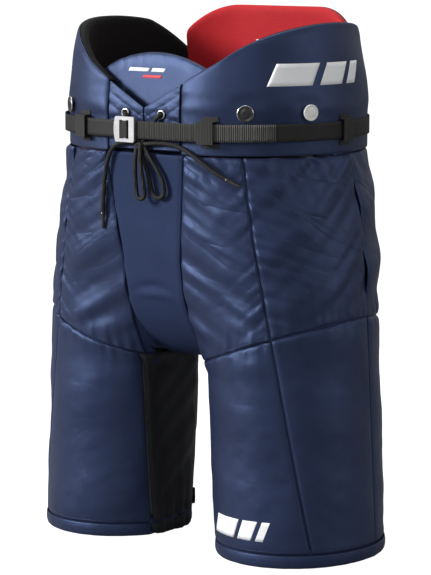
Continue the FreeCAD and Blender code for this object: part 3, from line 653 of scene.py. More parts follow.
def makeHard(name, look):
    material, tree, shader = startMaterial(name)
    coords = textCoords(tree, "object")
    patina = placeGroup(tree, patinaGroup, Vector=coords, Scale=look.get("cloud", 60.0))
    colour = colourRamp(tree, patina.outputs["Broad"], [(0.3, look["dark"]), (0.7, look["light"])])
    tree.links.new(colour, shader.inputs["Base Color"])
    rough = tree.nodes.new("ShaderNodeMapRange")
    rough.inputs["To Min"].default_value = look["rough"] - 0.06
    rough.inputs["To Max"].default_value = look["rough"] + 0.1
    tree.links.new(patina.outputs["Fine"], rough.inputs["Value"])
    tree.links.new(rough.outputs[0], shader.inputs["Roughness"])
    height = patina.outputs["Fine"]
    if "ribs" in look:
        height = mathNode(tree, "ADD",
                          mathNode(tree, "MULTIPLY", waveAlong(tree, coords, look["ribs"], look["ribAxis"]),
                                   3.0), height)
    tree.links.new(addBump(tree, height, look.get("bump", 0.15), 0.0003), shader.inputs["Normal"])
    shader.inputs["Metallic"].default_value = look.get("metal", 0.0)
    shader.inputs["Coat Weight"].default_value = look.get("coat", 0.0)
    return material


navy = {"dark": (0.009, 0.012, 0.030), "light": (0.014, 0.019, 0.046), "thread": (0.021, 0.029, 0.068),
        "threads": 1500.0,
        "rough": 0.38, "sheen": 0.03, "sheenTint": (0.30, 0.45, 1.0), "gloss": 0.75,
        "glossTint": (0.34, 0.50, 1.0), "bump": 0.25}
finishes = {
    "nylon": makeFabric("navySatinNylon", {**navy, "stitch": 0.0032, "folds": (26.0, 0.6, 0.55)}),
    "nylonTongue": makeFabric("navySatinNylonTongue", {**navy, "stitch": 0.0032}),
    "nylonPlain": makeFabric("navySatinNylonUnstitched", navy),
    "knit": makeFabric("navyRibKnit", {**navy, "threads": 700.0, "ribs": 420.0, "ribDepth": 1.4, "rough": 0.7,
                                       "gloss": 0.25,
                                       "dark": (0.013, 0.020, 0.050), "light": (0.019, 0.028, 0.068),
                                       "stitch": 0.0022}),
    "lining": makeFabric("blackBrushedLining", {"dark": (0.004, 0.004, 0.0045), "light": (0.007, 0.007, 0.0075),
                                                "thread": (0.012, 0.012, 0.0125),
                                                "threads": 900.0, "rough": 0.85, "sheen": 0.05,
                                                "sheenTint": (0.5, 0.5, 0.5), "gloss": 0.15}),
    "red": makeFabric("redMeshLining", {"dark": (0.30, 0.006, 0.010), "light": (0.42, 0.010, 0.016),
                                        "thread": (0.50, 0.026, 0.032),
                                        "threads": 800.0, "rough": 0.7, "sheen": 0.2,
                                        "sheenTint": (1.0, 0.3, 0.3), "gloss": 0.2}),
    "stretch": makeFabric("blackStretchFabric", {"dark": (0.006, 0.006, 0.008), "light": (0.010, 0.010, 0.013),
                                                 "thread": (0.02, 0.02, 0.024),
                                                 "threads": 1100.0, "rough": 0.6, "sheen": 0.10,
                                                 "sheenTint": (0.4, 0.45, 0.7), "gloss": 0.3, "stitch": 0.004}),
    "webbing": makeFabric("blackWebbing", {"dark": (0.005, 0.005, 0.005), "light": (0.009, 0.009, 0.0085),
                                           "thread": (0.020, 0.0195, 0.019),
                                           "threads": 1000.0, "rough": 0.55, "sheen": 0.1, "gloss": 0.35,
                                           "bump": 0.6}),
    "ribbed": makeFabric("blackRibbedWebbing", {"dark": (0.008, 0.008, 0.008), "light": (0.015, 0.015, 0.014),
                                                "thread": (0.055, 0.054, 0.051), "threads": 1000.0,
                                                "ribs": 430.0, "ribDepth": 4.0, "ribShade": 0.85, "rough": 0.5,
                                                "sheen": 0.1, "gloss": 0.4, "bump": 0.9}),
    "foam": makeFabric("greyFoamMesh", {"dark": (0.20, 0.21, 0.22), "light": (0.30, 0.31, 0.33),
                                        "thread": (0.38, 0.39, 0.40),
                                        "threads": 420.0, "coords": "object", "rough": 0.9, "sheen": 0.1,
                                        "gloss": 0.1, "bump": 0.7}),
    "cordBraid": makeFabric("blackBraidedLace", {"dark": (0.005, 0.005, 0.005), "light": (0.009, 0.009, 0.0085),
                                                 "thread": (0.026, 0.025, 0.023),
                                                 "threads": 620.0, "coords": "object", "rough": 0.65,
                                                 "sheen": 0.2, "gloss": 0.3, "bump": 0.9}),
    "print": makeFabric("paleHeatPrint", {"dark": (0.78, 0.79, 0.81), "light": (0.86, 0.87, 0.89),
                                          "thread": (0.55, 0.57, 0.60),
                                          "threads": 1500.0, "coords": "object", "rough": 0.5, "sheen": 0.05,
                                          "crease": 0.1}),
    "printRed": makeFabric("redHeatPrint", {"dark": (0.55, 0.04, 0.05), "light": (0.68, 0.06, 0.07),
                                            "thread": (0.5, 0.05, 0.06),
                                            "threads": 1500.0, "coords": "object", "rough": 0.5, "sheen": 0.05,
                                            "crease": 0.1}),
    "guard": makeHard("greyGuardPlastic", {"dark": (0.07, 0.07, 0.075), "light": (0.11, 0.11, 0.115),
                                           "rough": 0.5}),
    "buckle": makeHard("satinBuckle", {"dark": (0.40, 0.40, 0.41), "light": (0.55, 0.55, 0.56), "rough": 0.33,
                                       "metal": 0.75, "bump": 0.12}),
    "steel": makeHard("satinSteel", {"dark": (0.55, 0.55, 0.55), "light": (0.72, 0.72, 0.71), "rough": 0.26,
                                     "metal": 1.0}),
    "jet": makeHard("blackGloss", {"dark": (0.010, 0.010, 0.011), "light": (0.020, 0.020, 0.021), "rough": 0.3,
                                   "coat": 0.3}),
    "pearl": makeHard("whiteGloss", {"dark": (0.62, 0.62, 0.60), "light": (0.78, 0.78, 0.76), "rough": 0.3,
                                     "coat": 0.3}),
}
print("stage: finishes made", len(finishes))


def enrol(piece, body, slotName, *nodes):
    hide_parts(*nodes)
    if body:
        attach(piece, body)
    return piece


# ---- folds worked in on top of the cloth

def ridge(x, seed):
    # an uneven run of rounded creases, -1 to 1
    return noise.noise(Vector((x, seed * 7.31, seed * 1.7))) * 1.6


def pucker(along, away, pitch, reach, seed):
    # short creases square to a seam, dying away from it
    return ridge(along / pitch, seed) * math.exp(-away / reach)


panelFolds = {
    "front": {"columns": 38, "rows": 76, "across": 0.03, "up": 0.05, "nearBelt": 0.10, "pressure": 0.8,
              "inward": 0.0034, "outward": 0.0012},
    "side": {"columns": 52, "rows": 66, "across": 0.05, "up": 0.035, "nearBelt": 0.05, "pressure": 2.2,
             "inward": 0.0016, "outward": 0.0050},
    "seat": {"columns": 56, "rows": 70, "across": 0.04, "up": 0.04, "nearBelt": 0.05, "pressure": 1.6,
             "inward": 0.0030, "outward": 0.0045},
    "thigh": {"columns": 44, "rows": 66, "across": 0.012, "up": 0.012, "nearBelt": 0.03, "pressure": 2.0,
              "inward": 0.0006, "outward": 0.0036},
    "outer": {"columns": 36, "rows": 70, "across": 0.015, "up": 0.012, "nearBelt": 0.03, "pressure": 2.0,
              "inward": 0.0006, "outward": 0.0036},
    "rear": {"columns": 44, "rows": 66, "across": 0.015, "up": 0.015, "nearBelt": 0.03, "pressure": 2.0,
             "inward": 0.0006, "outward": 0.0036},
    "inner": {"columns": 56, "rows": 60, "across": 0.05, "up": 0.03, "nearBelt": 0.02, "pressure": 0.6,
              "inward": 0.0020, "outward": 0.0020},
}
panelRows = {
    "front": ("front_panel", frontRow, (0.05, 0.0)),
    "side": ("side_panel", sideRow, (0.05, 0.0)),
    "seat": ("seat_panel", seatRow, (0.05, 0.0)),
    "thigh": ("thigh_cover", thighRow, (0.115, -0.005)),
    "outer": ("side_cover", sideCoverRow, (0.115, -0.005)),
    "rear": ("back_cover", backCoverRow, (0.115, -0.005)),
    "inner": ("inner_leg_panel", innerRow, (0.115, -0.005)),
}


def handFolds(kind, hand, fact, place):
    u, v, across, up, edge = fact
    seed = {"front": 1, "side": 2, "seat": 3, "thigh": 4, "outer": 5, "rear": 6, "inner": 7}[kind] + (0.5
        if hand < 0 else 0)
    z, x = place.z, abs(place.x)
    height = -0.0016 * (1 - smooth(0.0, 0.004, edge[0]))  # every seam pulls its edge in
    if kind in ("front", "side", "seat"):
        lowAway = max(0.0, z - thighSeamZ(x))
        height += 0.0026 * pucker(across, lowAway, 0.0080, 0.015, seed) * smooth(0, 0.003, lowAway)
        topAway = max(0.0, panelTopZ - z)
        height += 0.0028 * pucker(across + z * 0.5, topAway, 0.013, 0.022, seed + 2) * smooth(0, 0.003, topAway)
    if kind in ("front", "side"):
        away = (1 - u if kind == "front" else u) * 0.13
        height += 0.0026 * pucker(up + away * 0.5, away, 0.0090, 0.015, seed + 4) * smooth(0, 0.003, away)
    if kind == "front":
        slant = z * 1.0 + (x - 0.05) * 0.55
        height += 0.0024 * ridge(slant / 0.017, seed + 5) * smooth(0.0, 0.15,
            v) * (0.6 + ridge(x / 0.04, seed + 6))
        height -= 0.0030 * abs(ridge(slant / 0.022, seed + 8)) * smooth(0.6, 1.0, v)
    if kind == "side":
        slant = z - place.y * 0.9
        height += 0.0040 * ridge(slant / 0.026, seed + 5) * smooth(0.02, 0.2, v) * (0.35 + u)
        height += 0.0014 * ridge(slant / 0.012, seed + 9) * smooth(0.02, 0.2, v) * u
    if kind == "seat":
        slant = z * 0.8 + place.x * hand * 0.4
        height += 0.0032 * ridge(slant / 0.024, seed + 5)
    if kind in ("thigh", "outer", "rear"):
        topAway = max(0.0, thighSeamZ(x) - z)
        height += 0.0020 * pucker(across, topAway, 0.0080, 0.011, seed) * smooth(0, 0.003, topAway)
        height += 0.0008 * pucker(across, z, 0.011, 0.02, seed + 3)
        height += 0.0018 * ridge((z + across * 0.4) / 0.06, seed + 5) * smooth(0, 0.02, edge[0])
    if kind == "inner":
        slant = z - place.y * 0.7
        height += 0.0022 * ridge(slant / 0.022, seed) * smooth(0, 0.02, edge[0])
        height += 0.0016 * pucker(across, max(0.0, z - 0.014), 0.007, 0.03, seed + 3)
    return height


panels = {}
for handName, hand in sides.items():
    for kind, (node, row, centre) in panelRows.items():
        folds = panelFolds[kind]
        name = f"{handName}_{node}_cloth"
        finish = finishes["stretch" if kind == "inner" else "nylon"]
        piece, facts = makeSheet(name, row, folds["columns"], folds["rows"], centre, finish, hand)
        near = folds["nearBelt"]
        cutCloth(piece, facts, hand, lambda u, v, n=near, a=folds["across"]: a + n * (1 - smooth(0.0, 0.14, v))
                 + n * smooth(0.8, 1.0, v),
                 lambda u, v, n=folds["up"]: n, folds["pressure"], folds["inward"], folds["outward"],
                 3 + hand + len(panels))
        panels[handName, kind] = piece, facts, node
print("stage: panels cut")

# ---- girdle: wings, spine pad, tongue and fly flaps

girdlePads = {"wingColumns": 88, "wingRows": 44, "bottomZ": 0.4525,
              "spineColumns": 64}
girdleSheets = []


def edgeProfile(kind, step):
    # depth and drop below the top edge for the last rows of a cover or the first rows of a lining
    cover = [(0.0, 0.0030), (0.0002, 0.0016), (0.0009, 0.0006), (0.0022, 0.0)]
    lining = [(0.0026, 0.0006), (0.0040, 0.0000), (0.0075, 0.0000), (0.0105, 0.0012), (0.0126, 0.0038),
              (0.0134, 0.0085)]
    points = cover if kind == "cover" else lining
    step = clamp(step) * (len(points) - 1)
    low = min(int(step), len(points) - 2)
    return [mix(a, b, step - low) for a, b in zip(points[low], points[low + 1])]


def wingCoverRow(v, bottom=girdlePads["bottomZ"]):
    flat, edge = min(1, v / 0.9), max(0, (v - 0.9) / 0.1)
    depth, drop = edgeProfile("cover", edge)
    return [wingPoint(f, (lambda top: mix(bottom, top - drop, flat)), depth) for f in spread01(60)]


def wingLiningRow(v, bottom=girdlePads["bottomZ"] + 0.003):
    edge, flat = min(1, v / 0.2), max(0, (v - 0.2) / 0.8)
    depth, drop = edgeProfile("lining", edge)
    swell = 0.0012 * math.sin(math.pi * flat)
    return [wingPoint(f, (lambda top: mix(top - drop, bottom, flat)), depth + swell) for f in spread01(60)]


def spinePoint(x, rise, depth):
    z = rise(spineTopZ(x))
    return Vector((x, faceY(abs(x), z, 1, depth), z))


def spineCoverRow(v, bottom=girdlePads["bottomZ"]):
    flat, edge = min(1, v / 0.9), max(0, (v - 0.9) / 0.1)
    depth, drop = edgeProfile("cover", edge)
    return [spinePoint(mix(-0.114, 0.114, f), (lambda top: mix(bottom, top - drop, flat)), depth)
            for f in spread01(50)]


def spineLiningRow(v, bottom=girdlePads["bottomZ"] + 0.003):
    edge, flat = min(1, v / 0.2), max(0, (v - 0.2) / 0.8)
    depth, drop = edgeProfile("lining", edge)
    swell = 0.0010 * math.sin(math.pi * flat)
    return [spinePoint(mix(-0.114, 0.114, f), (lambda top: mix(top - drop, bottom, flat)), depth + swell)
            for f in spread01(50)]


buttonSeats = {
    "front": (Vector((0.12071, -0.10740, 0.499)),
              Vector((math.sin(math.radians(35)) / 0.132, -math.cos(math.radians(35)) / 0.136,
                      0)).normalized()),
    "side": (Vector((0.16559, -0.05132, 0.499)),
             Vector((math.sin(math.radians(66)) / 0.132, -math.cos(math.radians(66)) / 0.136, 0)).normalized()),
    "back": (Vector((0.034, 0.140, 0.499)), Vector((0, 1, 0))),
}


def calmNearButtons(place):
    nearest = min((Vector((abs(place.x), place.y, place.z)) - seat).length for seat,
                  normal in buttonSeats.values())
    return smooth(0.009, 0.026, nearest)


for handName, hand in sides.items():
    cover, facts = makeSheet(f"{handName}_wing_cover_cloth", wingCoverRow, girdlePads["wingColumns"],
                             girdlePads["wingRows"], (0.04, 0), finishes["nylonPlain"], hand)

    def wingFolds(u, v, place, hand=hand):
        aboveBelt = smooth(0.489, 0.510, place.z) * smooth(0, 0.02, 0.90 - v) * calmNearButtons(place)
        swell = 0.0016 * math.sin(math.pi * clamp(v)) + 0.0012 * ridge((place.z * 1.2 + place.y * 0.5) / 0.05,
            11 + hand)
        seamPull = 0.0011 * pucker(place.z, u * 0.33, 0.012, 0.020, 12 + hand) * smooth(0.489, 0.495, place.z)
        return swell * aboveBelt * smooth(0, 0.03, min(u, 1 - u)) + seamPull - 0.0014 * (1 - smooth(0, 0.008,
            min(u, 1 - u)))

    sculpt(cover, facts, wingFolds)
    finishSheet(cover, 0.0016)
    enrol(cover, "waist", "navy_nylon", f"{handName}_wing_cover")
    girdleSheets.append(cover)
    lining, facts = makeSheet(f"{handName}_wing_lining_pad", wingLiningRow, girdlePads["wingColumns"], 40,
                              (0.04, 0), finishes["lining"], hand, -1)
    finishSheet(lining, 0.0030)
    enrol(lining, "waist", "black_lining", f"{handName}_wing_lining")

spineCover, facts = makeSheet("spine_cover_cloth", spineCoverRow, girdlePads["spineColumns"], 40, (0, 0),
                              finishes["nylonPlain"])
sculpt(spineCover, facts, lambda u, v,
       place: (0.0015 * math.sin(math.pi * clamp(v)) * smooth(0.489, 0.51, place.z) * calmNearButtons(place)
                                               - 0.0014 * (1 - smooth(0, 0.01, min(u, 1 - u)))))
finishSheet(spineCover, 0.0016)
enrol(spineCover, "waist", "navy_nylon", "spine_cover")
spineLining, facts = makeSheet("spine_lining_pad", spineLiningRow, girdlePads["spineColumns"], 40, (0, 0),
                               finishes["red"], 1, -1)
finishSheet(spineLining, 0.0030)
enrol(spineLining, "waist", "red_lining", "spine_lining")

tongueShape = {"halfWidth": 0.077, "footZ": 0.442, "sideZ": 0.540, "topZ": 0.5615, "depth": 0.020,
               "thickness": 0.0078, "columns": 48, "rows": 40}


def tongueRow(v, shape=tongueShape):
    radius = (shape["halfWidth"] ** 2 + (shape["topZ"] - shape["sideZ"]) ** 2) / (2
        * (shape["topZ"] - shape["sideZ"]))
    points = []
    for f in spread01(40):
        x = mix(-1, 1, f) * shape["halfWidth"] * mix(0.93, 1.0, smooth(0, 0.4, v))
        top = shape["topZ"] - radius + math.sqrt(radius ** 2 - x * x)
        z = mix(shape["footZ"], top, v)
        points.append(Vector((x, faceY(abs(x), z, -1, shape["depth"]), z)))
    return points


tongue, facts = makeSheet("tongue_pad_cloth", tongueRow, tongueShape["columns"], tongueShape["rows"], (0, 0),
                          finishes["nylonTongue"])
fill = tongue.vertex_groups.new(name="fill")
for index, (u, v, across, up, edge) in enumerate(facts):
    fill.add([index], 0.25 + 0.75 * math.sqrt(clamp(edge[0] / 0.012)), "REPLACE")
sculpt(tongue, facts, lambda u, v, place: 0.0012 * pucker(place.x, (1 - v) * 0.11, 0.0055, 0.006, 21) + 0.0006
       * ridge(place.z / 0.03, 22) * (1 - v))
finishSheet(tongue, tongueShape["thickness"], 1, 0.0)
tongue.modifiers["wall"].vertex_group = "fill"
tongue.modifiers["wall"].thickness_vertex_group = 0.2
enrol(tongue, "tongue", "navy_nylon", "tongue_pad")

flapShape = {"outerX": 0.0497, "bottomZ": 0.4555, "columns": 34, "rows": 44, "thickness": 0.0042,
             "channel": 0.0125, "depth": 0.0018}


def flapRow(v, shape=flapShape):
    points = []
    for f in spread01(20):
        x = mix(0.0004, shape["outerX"], f)
        z = mix(shape["bottomZ"], 0.502 + 0.567 * x, v)
        points.append(Vector((x, faceY(x, z, -1), z)))
    return points


for handName, hand in sides.items():
    flap, facts = makeSheet(f"{handName}_fly_flap_quilt", flapRow, flapShape["columns"], flapShape["rows"],
                            (0, 0), finishes["nylon"], hand)

    def flapFolds(u, v, place, hand=hand):
        below = 0.502 + 0.567 * abs(place.x) - place.z  # quilting runs beside the edge of the V
        channel = abs(math.sin(math.pi * below / flapShape["channel"]))
        nearEyelet = smooth(0.006, 0.012, math.hypot(abs(place.x) - 0.025, place.z - 0.495))
        gathers = 0.0009 * pucker(place.z, abs(abs(place.x) - 0.05), 0.008, 0.012, 31 + hand)
        aboveBelt = smooth(0.486, 0.494, place.z)
        return (0.0010 * channel ** 0.5 + gathers) * nearEyelet * aboveBelt - 0.0010

    sculpt(flap, facts, flapFolds)
    bm = bmesh.new()
    bm.from_mesh(flap.data)
    hole = [face for face in bm.faces if math.hypot(abs(face.calc_center_median().x) - 0.025,
                                                    face.calc_center_median().z - 0.495) < 0.0034]
    bmesh.ops.delete(bm, geom=hole, context="FACES")
    bm.to_mesh(flap.data)
    bm.free()
    finishSheet(flap, flapShape["thickness"], 1, -1.0, finishes["lining"])
    enrol(flap, "waist", "navy_nylon", f"{handName}_fly_flap")
print("stage: girdle pads made")

# ---- crotch gusset, one strap from the girdle to the seat

gussetShape = {"columns": 34, "rows": 110, "thickness": 0.0026, "foldPlace": (-0.002, 0.283), "arcZ": 0.3234,
               "arcRadius": 0.1144}


def gussetRow(v, shape=gussetShape):
    lengths = (0.153, 0.292)  # the straight front and the turn under the crotch
    way = v * (sum(lengths) + 0.008)
    points = []
    for f in spread01(24):
        if way < lengths[0]:
            z = mix(panelTopZ, 0.2995, way / lengths[0])
            x = mix(-1, 1, f) * (gussetEdge(z) - 0.0006)
            points.append(Vector((x, faceY(abs(x), z, -1), z)))
        elif way < sum(lengths):
            angle = math.radians(mix(191.8, 348.2, (way - lengths[0]) / lengths[1]))
            points.append(Vector((mix(-0.0398, 0.0398, f), -0.003 + math.cos(angle) * shape["arcRadius"],
                                  shape["arcZ"] + math.sin(angle) * shape["arcRadius"])))
        else:
            z = 0.300 + way - sum(lengths)
            points.append(Vector((mix(-0.0398, 0.0398, f), faceY(0.02, z, 1, 0.0028), z)))
    return points


gusset, facts = makeSheet("crotch_gusset_knit", gussetRow, gussetShape["columns"], gussetShape["rows"], (0, 0),
                          finishes["knit"])
bm = bmesh.new()
bm.from_mesh(gusset.data)
outwards = sum(face.normal.dot(face.calc_center_median() - Vector((0, -0.003, 0.33))) for face in bm.faces)
if outwards < 0:
    bmesh.ops.reverse_faces(bm, faces=bm.faces[:])
bm.to_mesh(gusset.data)
bm.free()


def gussetFolds(u, v, place):
    side = 0.0014 * (1 - smooth(0, 0.06, min(u, 1 - u)))
    foldX, foldZ = gussetShape["foldPlace"]
    bend = foldZ + 0.010 - 6.0 * (place.x - foldX) ** 2
    front = smooth(0.05, 0.09, -place.y)
    fold = (0.0030 * math.exp(-((place.z - bend) / 0.004) ** 2) - 0.0034
            * math.exp(-((place.z - bend - 0.008) / 0.005) ** 2)) * math.exp(-((place.x - foldX) / 0.022) ** 2)
    return -side - 0.0006 + fold * front + 0.0006 * ridge((place.z + place.x * 0.3) / 0.03, 41)


sculpt(gusset, facts, gussetFolds)
finishSheet(gusset, gussetShape["thickness"])
enrol(gusset, "waist", "navy_knit", "crotch_gusset")

settleCloth()

for (handName, kind), (piece, facts, node) in panels.items():
    hand = sides[handName]
    heights = [handFolds(kind, hand, fact, vert.co) for vert, fact in zip(piece.data.vertices, facts)]
    normals = [vert.normal.copy() for vert in piece.data.vertices]
    for vert, normal, height in zip(piece.data.vertices, normals, heights):
        if kind == "front" and vert.co.z > 0.36:
            height = min(height, 0.0008)  # the laces lie in front of this part
        vert.co += normal * height
    piece.data.update()
    finishSheet(piece, 0.0012 if kind == "inner" else 0.0018)
    slotName = "black_stretch" if kind == "inner" else "navy_nylon"
    if kind in ("front", "side", "seat"):
        enrol(piece, None, slotName, f"{handName}_{node}")
        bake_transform(piece)
    else:
        enrol(piece, f"{handName}_leg", slotName, f"{handName}_{node}")

# ---- seam allowances: the doubled cloth that closes each seam from behind

allowance = {"depth": 0.0030, "reach": 0.0115, "thickness": 0.0009}


def thighSeamRow(v):
    points = []
    for f in spread01(90):
        if f < 0.38:
            x = mix(0.036, 0.150, f / 0.38)
            z = thighSeamZ(x) + mix(-1, 1, v) * allowance["reach"]
            points.append(Vector((x, faceY(x, z, -1, allowance["depth"]), z)))
        elif f < 0.62:
            start, end = sideAngles(0.25)
            angle = mix(-math.acos(clamp((0.150 - sectionAt(0.25)[0]) / sectionAt(0.25)[1], -1, 1)),
                        math.pi / 3, (f - 0.38) / 0.24)
            rough = ringPoint(angle, 0.265, allowance["depth"])
            z = thighSeamZ(rough.x) + mix(-1, 1, v) * allowance["reach"]
            points.append(ringPoint(angle, z, allowance["depth"]))
        else:
            rough = ringPoint(math.pi / 3, 0.258, allowance["depth"])
            x = mix(rough.x, 0.030, (f - 0.62) / 0.38)
            z = thighSeamZ(x) + mix(-1, 1, v) * allowance["reach"]
            points.append(Vector((x, faceY(x, z, 1, allowance["depth"]), z)))
    return points


def uprightSeamRow(place, low, high):
    # place gives a point of the seam's line at a height, moved sideways by a way
    def row(v):
        way = mix(-1, 1, v) * allowance["reach"]
        return [place(mix(low, high, f), way) for f in spread01(40)]
    return row


def frontSeamPlace(z, way):
    x = sideSeamX(z) + way
    return Vector((x, faceY(x, z, -1, allowance["depth"]), z))


def backSeamPlace(z, way):
    return ringPoint(sideAngles(z)[1] + way / 0.11, z, allowance["depth"])


def gussetSeamPlace(z, way):
    x = gussetEdge(z) + way
    return Vector((x, faceY(x, z, -1, allowance["depth"]), z))


def hemSeamRow(path):
    return lambda v: [Vector((p.x, p.y, 0.0155 + mix(-1, 1, v) * 0.0060)) for p in path(0.0155, 0.0022)]


seamStrips = {
    "outer_hem_seam": (hemSeamRow(outerPath), 150, False),
    "inner_hem_seam": (hemSeamRow(innerPath), 90, False),
    "thigh_seam": (thighSeamRow, 150, True),
    "front_seam_upper": (uprightSeamRow(frontSeamPlace, 0.262, 0.450), 60, True),
    "back_seam_upper": (uprightSeamRow(backSeamPlace, 0.268, 0.450), 60, True),
    "gusset_seam": (uprightSeamRow(gussetSeamPlace, 0.222, 0.450), 60, True),
    "front_seam_lower": (uprightSeamRow(frontSeamPlace, 0.016, 0.258), 70, False),
    "back_seam_lower": (uprightSeamRow(backSeamPlace, 0.016, 0.264), 70, False),
}
for handName, hand in sides.items():
    for name, (row, columns, crossing) in seamStrips.items():
        strip, facts = makeSheet(f"{handName}_{name}_tape", row, columns, 4, (0.05, 0), finishes["nylonPlain"],
                                 hand)
        finishSheet(strip, allowance["thickness"], 0)
        if crossing:
            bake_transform(strip)
        else:
            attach(strip, f"{handName}_leg")

# ---- leg openings: rolled hem, its facing, and the lining tube

hemProfile = [(0.0002, 0.0150), (-0.0004, 0.0100), (-0.0002, 0.0045), (0.0008, 0.0014), (0.0030, 0.0004),
              (0.0060, 0.0012), (0.0110, 0.0045), (0.0156, 0.0088)]


def hemRow(path):
    def row(v):
        step = v * (len(hemProfile) - 1)
        low = min(int(step), len(hemProfile) - 2)
        depth, z = [mix(a, b, step - low) for a, b in zip(hemProfile[low], hemProfile[low + 1])]
        return [Vector((p.x, p.y, z)) for p in path(0.005, depth)]
    return row


def liningPath(z, depth=0.0160):
    spread, a, b, back = sectionAt(z)
    wallX = innerWallX + 0.010
    start = -math.acos(clamp((wallX + 0.001 - spread) / (a - depth), -1, 1))
    end = math.pi / 2
    outer = [ringPoint(mix(start, end, f), z, depth) for f in spread01(60)]
    back = [Vector((x, faceY(x, z, 1, depth), z)) for x in [mix(spread, wallX, f) for f in spread01(14)[1:]]]
    return outer + back + [Vector((wallX, mix(back[-1].y, outer[0].y, f), z)) for f in spread01(10)[1:]]


def liningRow(v):
    path = liningPath(0.1)
    return [Vector((q.x, q.y, mix(0.0085, min(thighSeamZ(p.x), 0.245) - 0.003, v))) for p,
            q in zip(path, liningPath(mix(0.0085, 0.2, v)))]


for handName, hand in sides.items():
    for label, path, finish, slotName in (("navy", outerPath, "nylonPlain", "navy_nylon"),
                                          ("stretch", innerPath, "stretch", "black_stretch")):
        band, facts = makeSheet(f"{handName}_hem_{label}", hemRow(path), 150 if label == "navy" else 90, 21,
                                (0.125, -0.006), finishes[finish], hand)
        gather, pitch = (0.0003, 0.012) if label == "navy" else (0.0013, 0.0060)
        sculpt(band, facts, lambda u, v, place, g=gather,
               p=pitch: g * ridge(math.atan2(place.y + 0.006, abs(place.x) - 0.125) * 0.1 / p, 51)
               * smooth(0, 0.1, 0.6 - v)
               - 0.0016 * (1 - smooth(0, 0.02, min(u, 1 - u))))
        finishSheet(band, 0.0009)
        enrol(band, f"{handName}_leg", slotName, f"{handName}_hem_band")
    tube, facts = makeSheet(f"{handName}_leg_lining_tube", liningRow, 130, 46, (0.115, -0.005),
                            finishes["lining"], hand)
    sculpt(tube, facts, lambda u, v, place, hand=hand: 0.0007 * ridge((place.z + place.y * 0.4) / 0.02,
        61 + hand) * smooth(0, 0.08, min(v, 1 - v)) - 0.0004)
    bm = bmesh.new()
    bm.from_mesh(tube.data)
    bmesh.ops.remove_doubles(bm, verts=bm.verts[:], dist=0.0006)
    bmesh.ops.recalc_face_normals(bm, faces=bm.faces[:])
    bm.to_mesh(tube.data)
    bm.free()
    finishSheet(tube, 0.0010)
    enrol(tube, f"{handName}_leg", "black_lining", f"{handName}_leg_lining")
print("stage: legs made")


# ---- foams: the hidden pads, rounded and quilted from their own shapes

def softCopy(node, name, voxel=0.0035, smoothing=3):
    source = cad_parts[node]
    bm = bmesh.new()
    bm.from_mesh(source.data)
    bmesh.ops.remove_doubles(bm, verts=bm.verts[:], dist=mergeDistance)
    bmesh.ops.recalc_face_normals(bm, faces=bm.faces[:])
    piece = link(name, bm, finishes["foam"])
    remesh = piece.modifiers.new("even", "REMESH")
    remesh.mode = "VOXEL"
    remesh.voxel_size = voxel
    graph = bpy.context.evaluated_depsgraph_get()
    even = bpy.data.meshes.new_from_object(piece.evaluated_get(graph))
    piece.modifiers.clear()
    piece.data = even
    piece.data.name = name
    bm = bmesh.new()
    bm.from_mesh(even)
    for step in range(smoothing):
        bmesh.ops.smooth_vert(bm, verts=bm.verts[:], factor=0.5, use_axis_x=True, use_axis_y=True,
                              use_axis_z=True)
    bm.normal_update()
    for vert in bm.verts:
        quilt = min(abs(math.sin(math.pi * (vert.co.z + vert.co.y) / 0.03)),
                    abs(math.sin(math.pi * (vert.co.z - vert.co.y) / 0.03)))
        vert.co -= vert.normal * 0.0012 * (1 - smooth(0, 0.25, quilt))
    bm.to_mesh(even)
    bm.free()
    if not even.materials:
        even.materials.append(finishes["foam"])
    for polygon in even.polygons:
        polygon.use_smooth = True
    return piece


for handName in sides:
    for node in ("hip_foam", "thigh_foam", "back_foam"):
        pad = softCopy(f"{handName}_{node}", f"{handName}_{node}_pad")
        enrol(pad, None if node == "hip_foam" else f"{handName}_leg", "foam", f"{handName}_{node}")
        if node == "hip_foam":
            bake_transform(pad)
print("stage: foams made")

# ---- belt: band, ribbed tail, loops

beltShape = {"lowZ": 0.4685, "highZ": 0.4875, "spread": 0.045, "halfWidth": 0.1335, "halfDepth": 0.140,
             "back": 0.0015}


def beltTrack(growth, z, fromX, toX, wayRound):
    # the ring from a front x round the wearer's right side and back to another front x, or the front only
    spread, a, b = beltShape["spread"], beltShape["halfWidth"] + growth, beltShape["halfDepth"] + growth
    back = beltShape["back"]
    if wayRound:
        front = [Vector((mix(fromX, -spread, f), back - b, z)) for f in spread01(4)]
        rightSide = [Vector((-spread - a * math.sin(t), back - b * math.cos(t), z))
                     for t in [math.pi * f for f in spread01(60)]]
        rear = [Vector((mix(-spread, spread, f), back + b, z)) for f in spread01(8)[1:-1]]
        leftSide = [Vector((spread + a * math.sin(t), back + b * math.cos(t), z))
                    for t in [math.pi * f for f in spread01(60)]]
        last = [Vector((mix(spread, toX, f), back - b, z)) for f in spread01(6)[1:]]
        return front + rightSide[1:] + rear + leftSide + last
    front = [Vector((mix(fromX, spread, f), back - b, z)) for f in spread01(6)]
    limit = math.asin(clamp((toX - spread) / a))
    return front + [Vector((spread + a * math.sin(t), back - b * math.cos(t), z))
                    for t in [limit * f for f in spread01(40)[1:]]]


def beltRow(growth, fromX, toX, wayRound):
    def row(v):
        return beltTrack(growth, mix(beltShape["lowZ"], beltShape["highZ"], v), fromX, toX, wayRound)
    return row


